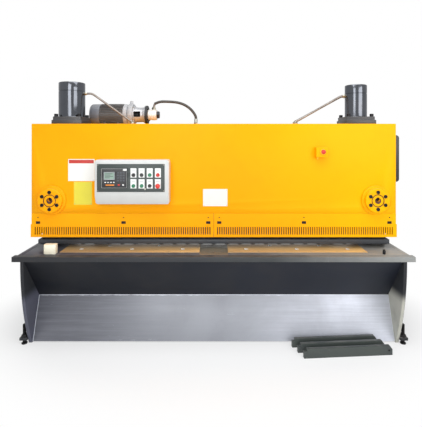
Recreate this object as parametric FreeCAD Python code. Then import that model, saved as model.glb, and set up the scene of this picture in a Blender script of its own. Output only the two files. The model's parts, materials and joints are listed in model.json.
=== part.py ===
import FreeCAD, Part
import math
import os

from FreeCAD import Vector

# Hydraulic guillotine shear for plate, in millimetres.
# X runs to the operator's right, Y runs away from the operator and Z is up from the floor.
# While the pieces are made, Y is the depth behind the front face of the table bar.
# The last step slides them forward so that the origin is the middle of the footprint.

# Side frames
FRAME_OUTER_X = 1720.0
FRAME_THICKNESS = 30.0
FRAME_TOE_DEPTH = 172.0
FRAME_LIP_DEPTH = 12.0
FRAME_TOP_BACK_DEPTH = 1180.0
FRAME_BACK_DEPTH = 1330.0
FRAME_SHOULDER_HEIGHT = 1500.0
FRAME_FOOT_LENGTH = 250.0
FRAME_FOOT_RELIEF = 60.0
THROAT_BACK_DEPTH = 455.0
THROAT_TOP = 965.0
THROAT_CORNER = 40.0

# Table, its front bar and what lies in it
TABLE_TOP = 850.0
TABLE_THICKNESS = 45.0
BAR_OVERHANG = 70.0
BAR_DEPTH = 60.0
WING_INSET = 25.0
WING_BACK_DEPTH = 500.0
WEAR_INNER_X = 131.0
WEAR_OUTER_X = 1420.0
WEAR_FRONT_DEPTH = 137.0
WEAR_THICKNESS = 12.0
WEAR_PROUD = 2.0
CENTRE_PLATE_FRONT_DEPTH = 66.0
CENTRE_PLATE_SIDE_GAP = 2.0
CENTRE_BOLT_DEPTH = 140.0
CENTRE_BOLT_RADIUS = 11.0
BALL_RADIUS = 13.0
BALL_PROUD = 2.5
BALL_CUP_RADIUS = 19.0
BALL_FRONT_DEPTH = 234.0
BALL_BACK_DEPTH = 346.0
BALL_FIRST_X = 300.0
BALL_STEP_X = 240.0
BALLS_PER_PLATE = 5

# Lower knife and the beam that carries it
BLADE_LINE_DEPTH = 421.0
LOWER_BLADE_THICKNESS = 25.0
LOWER_BLADE_HEIGHT = 80.0
LOWER_BEAM_THICKNESS = 56.0
LOWER_BEAM_FOOT = 260.0
TABLE_RIB_THICKNESS = 16.0
TABLE_RIB_FRONT_DEPTH = 66.0
TABLE_RIB_FOOT = 430.0
TABLE_RIBS = 6

# Apron and kick panel under the table
APRON_TOP_DEPTH = 20.0
KNEE_DEPTH = 310.0
KNEE_HEIGHT = 390.0
KICK_FOOT_DEPTH = 180.0
KICK_FLOOR_GAP = 8.0
APRON_THICKNESS = 8.0

# Front panel and finger guards
PANEL_DEPTH = 241.0
PANEL_THICKNESS = 22.0
PANEL_OVERHANG = 10.0
PANEL_BOTTOM = 1190.0
DECK_TOP = 2040.0
DECK_THICKNESS = 12.0
GUARD_THICKNESS = 12.0
GUARD_BOTTOM = 963.0
GUARD_SPLIT = 3.0
GUARD_SEAM = 1.0
COMB_OVERHANG = 8.0
COMB_TOP = 1085.0
SLOT_BOTTOM = 986.0
SLOT_TOP = 1060.0
SLOT_WIDTH = 10.0
SLOT_PITCH = 21.0
SLOTS_PER_GUARD = 80

# Hold-down beam and its press feet
HOLD_FLANGE_DEPTH = 290.0
HOLD_BACK_DEPTH = 402.0
HOLD_FLANGE_BOTTOM = 886.0
HOLD_FLANGE_THICKNESS = 41.0
HOLD_WEB_THICKNESS = 22.0
HOLD_LIP_HEIGHT = 108.0
FOOT_COUNT = 27
FOOT_PITCH = 126.7
FOOT_DEPTH = 331.0
FOOT_RADIUS = 25.0
FOOT_BOTTOM = 875.0
FOOT_PAD_HEIGHT = 9.0
FOOT_STEM_RADIUS = 17.0
FOOT_STEM_TOP = 924.0
STEM_CLEARANCE = 0.3

# Blade beam, upper knife and rods
BLADE_GAP = 0.3
UPPER_BLADE_THICKNESS = 25.0
UPPER_BLADE_HEIGHT = 90.0
UPPER_BLADE_HALF_LENGTH = 1650.0
UPPER_BLADE_LOW = 893.0
RAKE_DEGREES = 1.5
BEAM_SIDE_CLEARANCE = 10.0
BEAM_PLATE_THICKNESS = 40.0
BEAM_EDGE_ABOVE_KNIFE = 20.0
BEAM_TOP = 1640.0
BEAM_FLANGE_THICKNESS = 40.0
BEAM_FLANGE_BACK_DEPTH = 700.0
BEAM_RIBS = 7
BEAM_RIB_SPACING = 540.0
BEAM_RIB_THICKNESS = 20.0
BEAM_RIB_FOOT = 1030.0
BEAM_RIB_WAIST_DEPTH = 600.0
BEAM_RIB_WAIST_HEIGHT = 1180.0
ROD_RADIUS = 55.0
ROD_LENGTH = 690.0
ROD_CLEARANCE = 0.3
ROD_BORE_END_GAP = 15.0
DECK_ROD_CLEARANCE = 5.0

# Back gauge hung from the blade beam
GAUGE_RAIL_X = 1300.0
GAUGE_RAIL_WIDTH = 60.0
GAUGE_RAIL_HEIGHT = 80.0
GAUGE_RAIL_BOTTOM = 1000.0
GAUGE_RAIL_END_DEPTH = 1560.0
GAUGE_FENCE_DEPTH = 1050.0
GAUGE_FENCE_THICKNESS = 20.0
GAUGE_FENCE_HALF_LENGTH = 1500.0
GAUGE_FENCE_BOTTOM = 895.0
GAUGE_LEDGE_DEPTH = 110.0
GAUGE_CARRIAGE_DEPTH = 160.0
GAUGE_CARRIAGE_WALL = 18.0
GAUGE_SCREW_RADIUS = 14.0
GAUGE_SCREW_DROP = 26.0
GAUGE_END_PLATE = 16.0

# Roller guide housings on the front panel
HUB_INSET = 193.0
HUB_HEIGHT = 1316.0
HUB_BASE_RADIUS = 137.0
HUB_BASE_THICKNESS = 15.0
HUB_RADIUS = 114.0
HUB_PROUD = 53.0
HUB_BOSS_RADIUS = 52.0
HUB_GROOVE_WIDTH = 8.0
HUB_GROOVE_DEPTH = 5.0
HUB_SOCKET_RADIUS = 15.0
HUB_SOCKET_OFFSET = 12.0
HUB_SOCKET_DEPTH = 22.0
HUB_SLEEVE_RADIUS = 62.0
HUB_SLEEVE_CLEARANCE = 0.3
HUB_GUIDE_GAP = 5.0

# Main cylinders on the deck
CYLINDER_INSET = 245.0
CYLINDER_DEPTH = 580.0
LEFT_BARREL_RADIUS = 130.5
LEFT_BARREL_TOP = 2475.0
RIGHT_BARREL_RADIUS = 109.0
RIGHT_BARREL_TOP = 2450.0
BARREL_CAP_HEIGHT = 90.0
BARREL_SEAM = 3.0
BARREL_EDGE = 6.0
BASE_PLATE_WIDTH = 300.0
BASE_PLATE_HEIGHT = 45.0
FLANGE_WIDTH = 280.0
FLANGE_HEIGHT = 35.0

# Motor and pump on the deck, with their shaft along X
MOTOR_DEPTH = 915.0
MOTOR_SHAFT_HEIGHT = 124.0
MOTOR_COVER_LEFT_X = -1382.0
MOTOR_BODY_LEFT_X = -1264.0
MOTOR_BODY_RIGHT_X = -1009.0
MOTOR_SHIELD_RIGHT_X = -957.0
MOTOR_FLANGE_RIGHT_X = -900.0
BELL_RIGHT_X = -770.0
PUMP_PLATE_RIGHT_X = -743.0
PUMP_RIGHT_X = -616.0
MOTOR_COVER_RADIUS = 112.0
MOTOR_COVER_DOME = 26.0
MOTOR_CORE_RADIUS = 102.0
MOTOR_FIN_RADIUS = 117.0
MOTOR_FIN_THICKNESS = 5.0
MOTOR_FINS = 22
MOTOR_SHIELD_RADIUS = 108.0
MOTOR_FLANGE_RADIUS = 121.0
MOTOR_FOOT_WIDTH = 60.0
MOTOR_FOOT_SPREAD = 216.0
MOTOR_FOOT_THICKNESS = 14.0
BELL_RADIUS = 84.0
BELL_WALL = 12.0
BELL_FLANGE = 12.0
BELL_WINDOW_LENGTH = 62.0
BELL_WINDOW_WIDTH = 70.0
PUMP_PLATE_RADIUS = 104.0
PUMP_RADIUS = 60.0
PUMP_PORT_RADIUS = 24.0
PUMP_PORT_INSET = 64.0
PUMP_PORT_RISE = 62.0

# Oil lines
PIPE_RADIUS = 11.0
PIPE_BEND = 34.0
PIPE_PORT_BELOW_TOP = 110.0
PIPE_PORT_REACH = 28.0
PIPE_KNEE_REACH = 70.0
PIPE_DECK_X = 850.0
PIPE_DECK_RISE = 52.0
SECOND_PIPE_OFFSET = 60.0
FITTING_RADIUS = 19.0
FITTING_HEIGHT = 28.0
HOSE_RADIUS = 15.0
HOSE_BEND = 52.0
HOSE_END_X = -205.0
HOSE_RISE = 62.0
HOSE_TOP_RISE = 86.0
HOSE_FAR_RISE = 78.0
HOSE_NEAR_REACH = 114.0
HOSE_FAR_REACH = 290.0
HOSE_DROP_REACH = 70.0

# Oil tank and the parts that tie the frames together behind
TANK_FRONT_DEPTH = 760.0
TANK_BACK_DEPTH = 1160.0
TANK_BOTTOM = 1650.0
TIE_RADIUS = 70.0
TIE_DEPTH = 1190.0
TIE_HEIGHT = 470.0
CHUTE_TOP_DEPTH = 480.0
CHUTE_TOP = 700.0
CHUTE_END_DEPTH = 1100.0
CHUTE_END = 330.0
CHUTE_THICKNESS = 8.0

# Control box and what is on it
BOX_LEFT_X = -1092.0
BOX_WIDTH = 680.0
BOX_BOTTOM = 1291.0
BOX_HEIGHT = 413.0
BOX_DEPTH = 121.0
BOX_FOLD_RISE = 81.0
BOX_SLANT = 34.0
BOX_CORNER = 22.0
OPERATOR_LEFT_MARGIN = 22.0
OPERATOR_MARGIN = 38.0
OPERATOR_THICKNESS = 4.0
CONTROLLER_LEFT_MARGIN = 38.0
CONTROLLER_LOWER_MARGIN = 32.0
CONTROLLER_WIDTH = 243.0
CONTROLLER_HEIGHT = 187.0
CONTROLLER_PROUD = 7.0
SCREEN_FROM_LEFT = 60.0
SCREEN_RISE = 104.0
CONTROLLER_SCREEN_WIDTH = 102.0
CONTROLLER_SCREEN_HEIGHT = 72.0
CONTROLLER_SCREEN_SINK = 3.0

# Push buttons
BUTTON_FIRST_INSET = 285.0
BUTTON_PITCH = 74.5
BUTTON_UPPER_DROP = 101.0
BUTTON_LOWER_RISE = 54.0
BUTTONS_PER_ROW = 4
BUTTON_RADIUS = 11.0
BUTTON_CAP_HEIGHT = 8.0
BUTTON_LIFT = 5.0
BUTTON_STEM_RADIUS = 6.0
BUTTON_STEM_LENGTH = 22.0
BUTTON_BORE_END = 8.0
BUTTON_CLEARANCE = 0.5
MUSHROOM_RADIUS = 21.5
MUSHROOM_HEIGHT = 12.0
MUSHROOM_LIFT = 12.0

# Emergency stop on its own box, high on the right of the panel
STOP_X = 1021.0
STOP_HEIGHT = 1775.0
STOP_BOX_TO_LEFT = 63.0
STOP_BOX_TO_RIGHT = 49.0
STOP_BOX_BELOW = 52.0
STOP_BOX_ABOVE = 45.0
STOP_BOX_DEPTH = 60.0
STOP_BOX_CORNER = 8.0

# Black service box on the right side frame
CABINET_WIDTH = 66.0
CABINET_BOTTOM = 1482.0
CABINET_TOP = 1931.0
CABINET_FRONT_DEPTH = 292.0
CABINET_DEPTH = 330.0
CABINET_CORNER = 28.0

# Levelling feet
LUG_REACH = 70.0
LUG_LENGTH = 104.0
LUG_BOTTOM = 38.0
LUG_THICKNESS = 25.0
LUG_FRONT_DEPTH = 186.0
LUG_BACK_DEPTH = 1240.0
SCREW_FROM_MIDDLE = -26.0
ANCHOR_FROM_MIDDLE = 26.0
ANCHOR_RADIUS = 13.0
SCREW_RADIUS = 15.0
SCREW_TOP = 182.0
SCREW_FOOT_RADIUS = 26.0
SCREW_FOOT_HEIGHT = 14.0
SCREW_NUT_WIDTH = 46.0
SCREW_NUT_HEIGHT = 24.0
SCREW_CLEARANCE = 0.3

# Gauge pieces that stand on the table
BLOCK_X = -1490.0
BLOCK_WIDTH = 112.0
BLOCK_HEIGHT = 85.0
BLOCK_DEPTH = 62.0
BLOCK_FRONT_DEPTH = 78.0
BLOCK_CORNER = 16.0
STUD_X = 1547.0
STUD_DEPTH = 85.0
STUD_RADIUS = 13.0
STUD_HEIGHT = 42.0

# Sheet support arms that lie on the floor
ARM_LENGTH = 790.0
ARM_HEIGHT = 80.0
ARM_WIDTH = 30.0
ARM_PITCH = 85.0
ARM_LEFT_X = 782.0
ARM_FRONT_DEPTH = -82.0
ARM_TURN = 4.0
ARM_STAGGER = 34.0
ARM_TIP_LENGTH = 22.0
ARM_TIP_DROP = 28.0
ARM_NOTCH_LENGTH = 26.0
ARM_NOTCH_HEIGHT = 24.0
ARM_HOLE_RADIUS = 8.0
ARM_HOLE_INSET = 30.0
ARM_COUNT = 3

# Places that follow from the sizes above
FRAME_INNER_X = FRAME_OUTER_X - FRAME_THICKNESS
BAR_HALF_WIDTH = FRAME_OUTER_X + BAR_OVERHANG
WING_HALF_WIDTH = BAR_HALF_WIDTH - WING_INSET
PANEL_HALF_WIDTH = FRAME_OUTER_X + PANEL_OVERHANG
HUB_X = PANEL_HALF_WIDTH - HUB_INSET
CYLINDER_X = FRAME_OUTER_X - CYLINDER_INSET
TABLE_SEAT = TABLE_TOP - TABLE_THICKNESS
TABLE_BACK_DEPTH = BLADE_LINE_DEPTH - LOWER_BLADE_THICKNESS
WEAR_SEAT = TABLE_TOP + WEAR_PROUD - WEAR_THICKNESS
WEAR_TOP = TABLE_TOP + WEAR_PROUD
PANEL_BACK_DEPTH = PANEL_DEPTH + PANEL_THICKNESS
DECK_BOTTOM = DECK_TOP - DECK_THICKNESS
GUARD_TOP = PANEL_BOTTOM - GUARD_SEAM
GUARD_BACK_DEPTH = PANEL_DEPTH + GUARD_THICKNESS
UPPER_BLADE_FRONT = BLADE_LINE_DEPTH + BLADE_GAP
BEAM_FRONT_DEPTH = UPPER_BLADE_FRONT + UPPER_BLADE_THICKNESS
BEAM_PLATE_BACK = BEAM_FRONT_DEPTH + BEAM_PLATE_THICKNESS
BEAM_HALF_LENGTH = FRAME_INNER_X - BEAM_SIDE_CLEARANCE
ROD_TOP = BEAM_TOP + ROD_LENGTH
FLANGE_TOP = DECK_TOP + BASE_PLATE_HEIGHT + FLANGE_HEIGHT
MOTOR_AXIS = DECK_TOP + MOTOR_SHAFT_HEIGHT
PUMP_PORT_X = PUMP_RIGHT_X - PUMP_PORT_INSET
PUMP_PORT_HEIGHT = MOTOR_AXIS + PUMP_PORT_RISE
BOX_RIGHT_X = BOX_LEFT_X + BOX_WIDTH
BOX_TOP = BOX_BOTTOM + BOX_HEIGHT
BOX_FOLD = BOX_BOTTOM + BOX_FOLD_RISE
OPERATOR_LEFT_X = BOX_LEFT_X + OPERATOR_LEFT_MARGIN
OPERATOR_RIGHT_X = BOX_RIGHT_X - OPERATOR_MARGIN
OPERATOR_BOTTOM = BOX_FOLD + OPERATOR_MARGIN
OPERATOR_TOP = BOX_TOP - OPERATOR_MARGIN
CONTROLLER_LEFT_X = OPERATOR_LEFT_X + CONTROLLER_LEFT_MARGIN
CONTROLLER_RIGHT_X = CONTROLLER_LEFT_X + CONTROLLER_WIDTH
CONTROLLER_BOTTOM = OPERATOR_BOTTOM + CONTROLLER_LOWER_MARGIN
CONTROLLER_TOP = CONTROLLER_BOTTOM + CONTROLLER_HEIGHT
CONTROLLER_SCREEN_X = CONTROLLER_LEFT_X + SCREEN_FROM_LEFT
CONTROLLER_SCREEN_Z = CONTROLLER_BOTTOM + SCREEN_RISE
BUTTON_FIRST_X = OPERATOR_RIGHT_X - BUTTON_FIRST_INSET
BUTTON_UPPER_ROW = OPERATOR_TOP - BUTTON_UPPER_DROP
BUTTON_LOWER_ROW = OPERATOR_BOTTOM + BUTTON_LOWER_RISE
STOP_BOX_LEFT_X = STOP_X - STOP_BOX_TO_LEFT
STOP_BOX_RIGHT_X = STOP_X + STOP_BOX_TO_RIGHT
STOP_BOX_BOTTOM = STOP_HEIGHT - STOP_BOX_BELOW
STOP_BOX_TOP = STOP_HEIGHT + STOP_BOX_ABOVE
BOX_FRONT_DEPTH = PANEL_DEPTH - BOX_DEPTH
OPERATOR_FRONT_DEPTH = BOX_FRONT_DEPTH - OPERATOR_THICKNESS
STOP_BOX_FRONT_DEPTH = PANEL_DEPTH - STOP_BOX_DEPTH

# Repeated small rounds are many-sided, so that they stay light
SMALL_SIDES = 8
ROUND_SIDES = 12

nodes = {}


def box(x0, x1, y0, y1, z0, z1):
    """A block between two corners."""
    return Part.makeBox(x1 - x0, y1 - y0, z1 - z0, Vector(x0, y0, z0))


def rod_x(radius, x0, x1, y, z):
    """A round bar along X."""
    return Part.makeCylinder(radius, x1 - x0, Vector(x0, y, z), Vector(1, 0, 0))


def rod_y(radius, y0, y1, x, z):
    """A round bar along Y."""
    return Part.makeCylinder(radius, y1 - y0, Vector(x, y0, z), Vector(0, 1, 0))


def rod_z(radius, z0, z1, x, y):
    """A round bar along Z."""
    return Part.makeCylinder(radius, z1 - z0, Vector(x, y, z0), Vector(0, 0, 1))


def plate_x(outline, x0, x1):
    """A plate across X, from an outline of (depth, height) points."""
    points = [Vector(x0, y, z) for y, z in outline]
    face = Part.Face(Part.makePolygon(points + points[:1]))
    return face.extrude(Vector(x1 - x0, 0, 0))


def plate_y(outline, y0, y1):
    """A plate across Y, from an outline of (x, height) points."""
    points = [Vector(x, y0, z) for x, z in outline]
    face = Part.Face(Part.makePolygon(points + points[:1]))
    return face.extrude(Vector(0, y1 - y0, 0))


def many_sided(sides, radius, start, axis):
    """A straight bar of many flat sides, from a start point along an axis vector."""
    across = Vector(1, 0, 0) if abs(axis.x) < abs(axis.z) + abs(axis.y) else Vector(0, 1, 0)
    upward = axis.cross(across).normalize()
    points = []
    for index in range(sides):
        angle = 2 * math.pi * (index + 0.5) / sides
        points.append(start + across * (radius * math.cos(angle)) + upward * (radius * math.sin(angle)))
    face = Part.Face(Part.makePolygon(points + points[:1]))
    return face.extrude(axis)


def post(sides, radius, z0, z1, x, y):
    """An upright many-sided bar."""
    return many_sided(sides, radius, Vector(x, y, z0), Vector(0, 0, z1 - z0))


def turned(outline, centre, axis, radial):
    """A turned piece, from an outline of (radius, distance along the axis) points."""
    points = [centre + radial * r + axis * t for r, t in outline]
    face = Part.Face(Part.makePolygon(points + points[:1]))
    return face.revolve(centre, axis, 360)


def along_y(outline, x, z):
    """A turned piece about a line along Y; distances are depths."""
    return turned(outline, Vector(x, 0, z), Vector(0, 1, 0), Vector(1, 0, 0))


def along_x(outline, y, z):
    """A turned piece about a line along X; distances are X places."""
    return turned(outline, Vector(0, y, z), Vector(1, 0, 0), Vector(0, 0, 1))


def along_z(outline, x, y):
    """A turned piece about an upright line; distances are heights."""
    return turned(outline, Vector(x, y, 0), Vector(0, 0, 1), Vector(1, 0, 0))


def upright_edges(shape):
    """The straight edges of a shape that run along Z."""
    return [e for e in shape.Edges if abs(e.tangentAt(e.FirstParameter).z) > 0.999]


def edges_along_y(shape):
    """The straight edges of a shape that run along Y."""
    return [e for e in shape.Edges if abs(e.tangentAt(e.FirstParameter).y) > 0.999]


def bent_tube(points, radius, bend):
    """A round tube on straight runs that are joined by tangent arcs."""
    edges = []
    start = points[0]
    for before, corner, after in zip(points, points[1:], points[2:]):
        back = (before - corner).normalize()
        ahead = (after - corner).normalize()
        turn = math.pi - back.getAngle(ahead)
        reach = bend * math.tan(turn / 2)
        arc_start = corner + back * reach
        arc_end = corner + ahead * reach
        middle = (back + ahead).normalize()
        arc_middle = corner + middle * (bend / math.cos(turn / 2) - bend)
        edges.append(Part.LineSegment(start, arc_start).toShape())
        edges.append(Part.Arc(arc_start, arc_middle, arc_end).toShape())
        start = arc_end
    edges.append(Part.LineSegment(start, points[-1]).toShape())
    path = Part.Wire(edges)
    direction = (points[1] - points[0]).normalize()
    across = Vector(0, 1, 0)
    upward = direction.cross(across)
    section = []
    for index in range(ROUND_SIDES):
        angle = 2 * math.pi * (index + 0.5) / ROUND_SIDES
        offset = across * (radius * math.cos(angle)) + upward * (radius * math.sin(angle))
        section.append(points[0] + offset)
    profile = Part.makePolygon(section + section[:1])
    return path.makePipeShell([profile], True, False)


def side_frame(x0, x1):
    """One side frame: a C-shaped plate whose throat lets wide sheets past."""
    rise = TABLE_SEAT
    reach = FRAME_TOE_DEPTH - FRAME_LIP_DEPTH
    radius = (rise * rise + reach * reach) / (2 * reach)
    half_turn = math.asin(rise / radius) / 2
    toe = Vector(x0, FRAME_TOE_DEPTH, 0)
    lip = Vector(x0, FRAME_LIP_DEPTH, TABLE_SEAT)
    middle_depth = FRAME_LIP_DEPTH + radius * (1 - math.cos(half_turn))
    middle_height = TABLE_SEAT - radius * math.sin(half_turn)
    front = Part.Arc(toe, Vector(x0, middle_depth, middle_height), lip).toShape()
    throat_round = THROAT_CORNER * (1 - math.sqrt(0.5))
    throat_low = Vector(x0, THROAT_BACK_DEPTH, THROAT_TOP - THROAT_CORNER)
    throat_high = Vector(x0, THROAT_BACK_DEPTH - THROAT_CORNER, THROAT_TOP)
    throat_middle = Vector(x0, THROAT_BACK_DEPTH - throat_round, THROAT_TOP - throat_round)
    corner = Part.Arc(throat_low, throat_middle, throat_high).toShape()
    front_foot_end = FRAME_TOE_DEPTH + FRAME_FOOT_LENGTH
    back_foot_start = FRAME_BACK_DEPTH - FRAME_FOOT_LENGTH
    lower = [lip, Vector(x0, THROAT_BACK_DEPTH, TABLE_SEAT), throat_low]
    outline = [
        (PANEL_BACK_DEPTH, THROAT_TOP),
        (PANEL_BACK_DEPTH, DECK_BOTTOM),
        (FRAME_TOP_BACK_DEPTH, DECK_BOTTOM),
        (FRAME_BACK_DEPTH, FRAME_SHOULDER_HEIGHT),
        (FRAME_BACK_DEPTH, 0),
        (back_foot_start, 0),
        (back_foot_start - FRAME_FOOT_RELIEF, FRAME_FOOT_RELIEF),
        (front_foot_end + FRAME_FOOT_RELIEF, FRAME_FOOT_RELIEF),
        (front_foot_end, 0),
    ]
    upper = [throat_high] + [Vector(x0, y, z) for y, z in outline] + [toe]
    edges = [front]
    edges += Part.makePolygon(lower).Edges
    edges.append(corner)
    edges += Part.makePolygon(upper).Edges
    face = Part.Face(Part.Wire(edges))
    return face.extrude(Vector(x1 - x0, 0, 0))


def table():
    """The table plate with its shallow seats for the wear plates and the centre plate."""
    plate = box(-FRAME_OUTER_X, FRAME_OUTER_X, BAR_DEPTH, TABLE_BACK_DEPTH, TABLE_SEAT, TABLE_TOP)
    for side in (-1, 1):
        inner, outer = sorted((side * WEAR_INNER_X, side * WEAR_OUTER_X))
        seat = box(inner, outer, WEAR_FRONT_DEPTH, TABLE_BACK_DEPTH, WEAR_SEAT, TABLE_TOP)
        plate = plate.cut(seat)
    half = WEAR_INNER_X - CENTRE_PLATE_SIDE_GAP
    pocket = box(-half, half, CENTRE_PLATE_FRONT_DEPTH, TABLE_BACK_DEPTH, WEAR_SEAT, TABLE_TOP)
    return plate.cut(pocket)


def table_wings():
    """The wings that widen the table past the side frames."""
    wings = []
    for side in (-1, 1):
        inner, outer = sorted((side * FRAME_OUTER_X, side * WING_HALF_WIDTH))
        wings.append(box(inner, outer, BAR_DEPTH, WING_BACK_DEPTH, TABLE_SEAT, TABLE_TOP))
    return Part.makeCompound(wings)


def ball_places(side):
    """The places of the ball transfer units on one wear plate, in a zigzag."""
    places = []
    for index in range(BALLS_PER_PLATE):
        depth = BALL_BACK_DEPTH if index % 2 else BALL_FRONT_DEPTH
        places.append((side * (BALL_FIRST_X + index * BALL_STEP_X), depth))
    return places


def wear_plates():
    """The two bright plates, with a through hole for every ball unit."""
    plates = []
    for side in (-1, 1):
        inner, outer = sorted((side * WEAR_INNER_X, side * WEAR_OUTER_X))
        plate = box(inner, outer, WEAR_FRONT_DEPTH, TABLE_BACK_DEPTH, WEAR_SEAT, WEAR_TOP)
        for x, y in ball_places(side):
            plate = plate.cut(post(ROUND_SIDES, BALL_CUP_RADIUS, WEAR_SEAT, WEAR_TOP, x, y))
        plates.append(plate)
    return Part.makeCompound(plates)


def ball_units():
    """The ball transfer units: a cup that fills its hole, and a ball that stands proud."""
    units = []
    sunk = BALL_RADIUS - BALL_PROUD
    cap_radius = math.sqrt(BALL_RADIUS * BALL_RADIUS - sunk * sunk)
    for side in (-1, 1):
        for x, y in ball_places(side):
            cup = post(ROUND_SIDES, BALL_CUP_RADIUS, WEAR_SEAT, WEAR_TOP, x, y)
            cap = post(SMALL_SIDES, cap_radius, WEAR_TOP, WEAR_TOP + BALL_PROUD, x, y)
            units.append(cup.fuse(cap))
    return Part.makeCompound(units)


def centre_plate():
    """The brown plate in the middle of the table, with its bolt hole."""
    half = WEAR_INNER_X - CENTRE_PLATE_SIDE_GAP
    plate = box(-half, half, CENTRE_PLATE_FRONT_DEPTH, TABLE_BACK_DEPTH, WEAR_SEAT, TABLE_TOP)
    hole = rod_z(CENTRE_BOLT_RADIUS, WEAR_SEAT, TABLE_TOP, 0, CENTRE_BOLT_DEPTH)
    return plate.cut(hole)


def lower_beam():
    """The beam under the back of the table, with ribs that carry the table's overhang."""
    front = TABLE_BACK_DEPTH - LOWER_BEAM_THICKNESS
    beam = box(-FRAME_INNER_X, FRAME_INNER_X, front, TABLE_BACK_DEPTH, LOWER_BEAM_FOOT, TABLE_SEAT)
    outline = [(front, TABLE_SEAT), (TABLE_RIB_FRONT_DEPTH, TABLE_SEAT), (front, TABLE_RIB_FOOT)]
    spacing = 2 * FRAME_INNER_X / (TABLE_RIBS + 1)
    for index in range(TABLE_RIBS):
        x = -FRAME_INNER_X + spacing * (index + 1)
        rib = plate_x(outline, x - TABLE_RIB_THICKNESS / 2, x + TABLE_RIB_THICKNESS / 2)
        beam = beam.fuse(rib)
    return beam.removeSplitter()


def apron():
    """The dark plate that slopes back from the table bar to the knee."""
    outline = [
        (APRON_TOP_DEPTH, TABLE_SEAT),
        (APRON_TOP_DEPTH + APRON_THICKNESS, TABLE_SEAT),
        (KNEE_DEPTH + APRON_THICKNESS, KNEE_HEIGHT),
        (KNEE_DEPTH, KNEE_HEIGHT),
    ]
    return plate_x(outline, -FRAME_INNER_X, FRAME_INNER_X)


def kick_panel():
    """The bright plate that slopes forward from the knee to the floor."""
    outline = [
        (KNEE_DEPTH, KNEE_HEIGHT),
        (KNEE_DEPTH + APRON_THICKNESS, KNEE_HEIGHT),
        (KICK_FOOT_DEPTH + APRON_THICKNESS, KICK_FLOOR_GAP),
        (KICK_FOOT_DEPTH, KICK_FLOOR_GAP),
    ]
    return plate_x(outline, -FRAME_INNER_X, FRAME_INNER_X)


def front_panel():
    """The big front plate, with a bore for each roller guide."""
    half = PANEL_HALF_WIDTH
    panel = box(-half, half, PANEL_DEPTH, PANEL_BACK_DEPTH, PANEL_BOTTOM, DECK_TOP)
    for side in (-1, 1):
        bore = rod_y(HUB_SLEEVE_RADIUS, PANEL_DEPTH, PANEL_BACK_DEPTH, side * HUB_X, HUB_HEIGHT)
        panel = panel.cut(bore)
    return panel


def finger_guard(side):
    """One half of the finger guard: a plate with a comb of upright slots."""
    inner, outer = sorted((side * GUARD_SPLIT / 2, side * PANEL_HALF_WIDTH))
    seam = side * GUARD_SPLIT / 2
    end = side * PANEL_HALF_WIDTH
    comb_end = end + side * COMB_OVERHANG
    outline = [
        (seam, GUARD_BOTTOM),
        (comb_end, GUARD_BOTTOM),
        (comb_end, COMB_TOP),
        (end, COMB_TOP),
        (end, GUARD_TOP),
        (seam, GUARD_TOP),
    ]
    guard = plate_y(outline, PANEL_DEPTH, GUARD_BACK_DEPTH)
    first = (inner + outer) / 2 - SLOT_PITCH * (SLOTS_PER_GUARD - 1) / 2
    slots = []
    for index in range(SLOTS_PER_GUARD):
        x = first + index * SLOT_PITCH
        half = SLOT_WIDTH / 2
        slots.append(box(x - half, x + half, PANEL_DEPTH, GUARD_BACK_DEPTH, SLOT_BOTTOM, SLOT_TOP))
    return guard.cut(Part.makeCompound(slots))


def foot_places():
    """The X place of every press foot."""
    first = -FOOT_PITCH * (FOOT_COUNT - 1) / 2
    return [first + index * FOOT_PITCH for index in range(FOOT_COUNT)]


def hold_down_beam():
    """The folded beam between the frames that carries the press feet and the guards."""
    flange_top = HOLD_FLANGE_BOTTOM + HOLD_FLANGE_THICKNESS
    web_front = HOLD_BACK_DEPTH - HOLD_WEB_THICKNESS
    lip_back = GUARD_BACK_DEPTH + HOLD_WEB_THICKNESS
    ceiling = GUARD_TOP - HOLD_WEB_THICKNESS
    outline = [
        (HOLD_FLANGE_DEPTH, HOLD_FLANGE_BOTTOM),
        (HOLD_BACK_DEPTH, HOLD_FLANGE_BOTTOM),
        (HOLD_BACK_DEPTH, GUARD_TOP),
        (GUARD_BACK_DEPTH, GUARD_TOP),
        (GUARD_BACK_DEPTH, GUARD_TOP - HOLD_LIP_HEIGHT),
        (lip_back, GUARD_TOP - HOLD_LIP_HEIGHT),
        (lip_back, ceiling),
        (web_front, ceiling),
        (web_front, flange_top),
        (HOLD_FLANGE_DEPTH, flange_top),
    ]
    beam = plate_x(outline, -FRAME_INNER_X, FRAME_INNER_X)
    radius = FOOT_STEM_RADIUS + STEM_CLEARANCE
    bores = []
    for x in foot_places():
        bores.append(post(SMALL_SIDES, radius, HOLD_FLANGE_BOTTOM, flange_top, x, FOOT_DEPTH))
    return beam.cut(Part.makeCompound(bores))


def press_feet():
    """The press feet: a round pad on a stem that slides in the beam's flange."""
    pad_top = FOOT_BOTTOM + FOOT_PAD_HEIGHT
    feet = []
    for x in foot_places():
        pad = post(ROUND_SIDES, FOOT_RADIUS, FOOT_BOTTOM, pad_top, x, FOOT_DEPTH)
        stem = post(SMALL_SIDES, FOOT_STEM_RADIUS, pad_top, FOOT_STEM_TOP, x, FOOT_DEPTH)
        feet.append(pad.fuse(stem))
    return Part.makeCompound(feet)


def rake_height(x):
    """The height of the upper knife's edge at a place along it."""
    return UPPER_BLADE_LOW + (x + UPPER_BLADE_HALF_LENGTH) * math.tan(math.radians(RAKE_DEGREES))


def upper_blade():
    """The raked upper knife."""
    half = UPPER_BLADE_HALF_LENGTH
    outline = [
        (-half, rake_height(-half)),
        (half, rake_height(half)),
        (half, rake_height(half) + UPPER_BLADE_HEIGHT),
        (-half, rake_height(-half) + UPPER_BLADE_HEIGHT),
    ]
    return plate_y(outline, UPPER_BLADE_FRONT, BEAM_FRONT_DEPTH)


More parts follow.
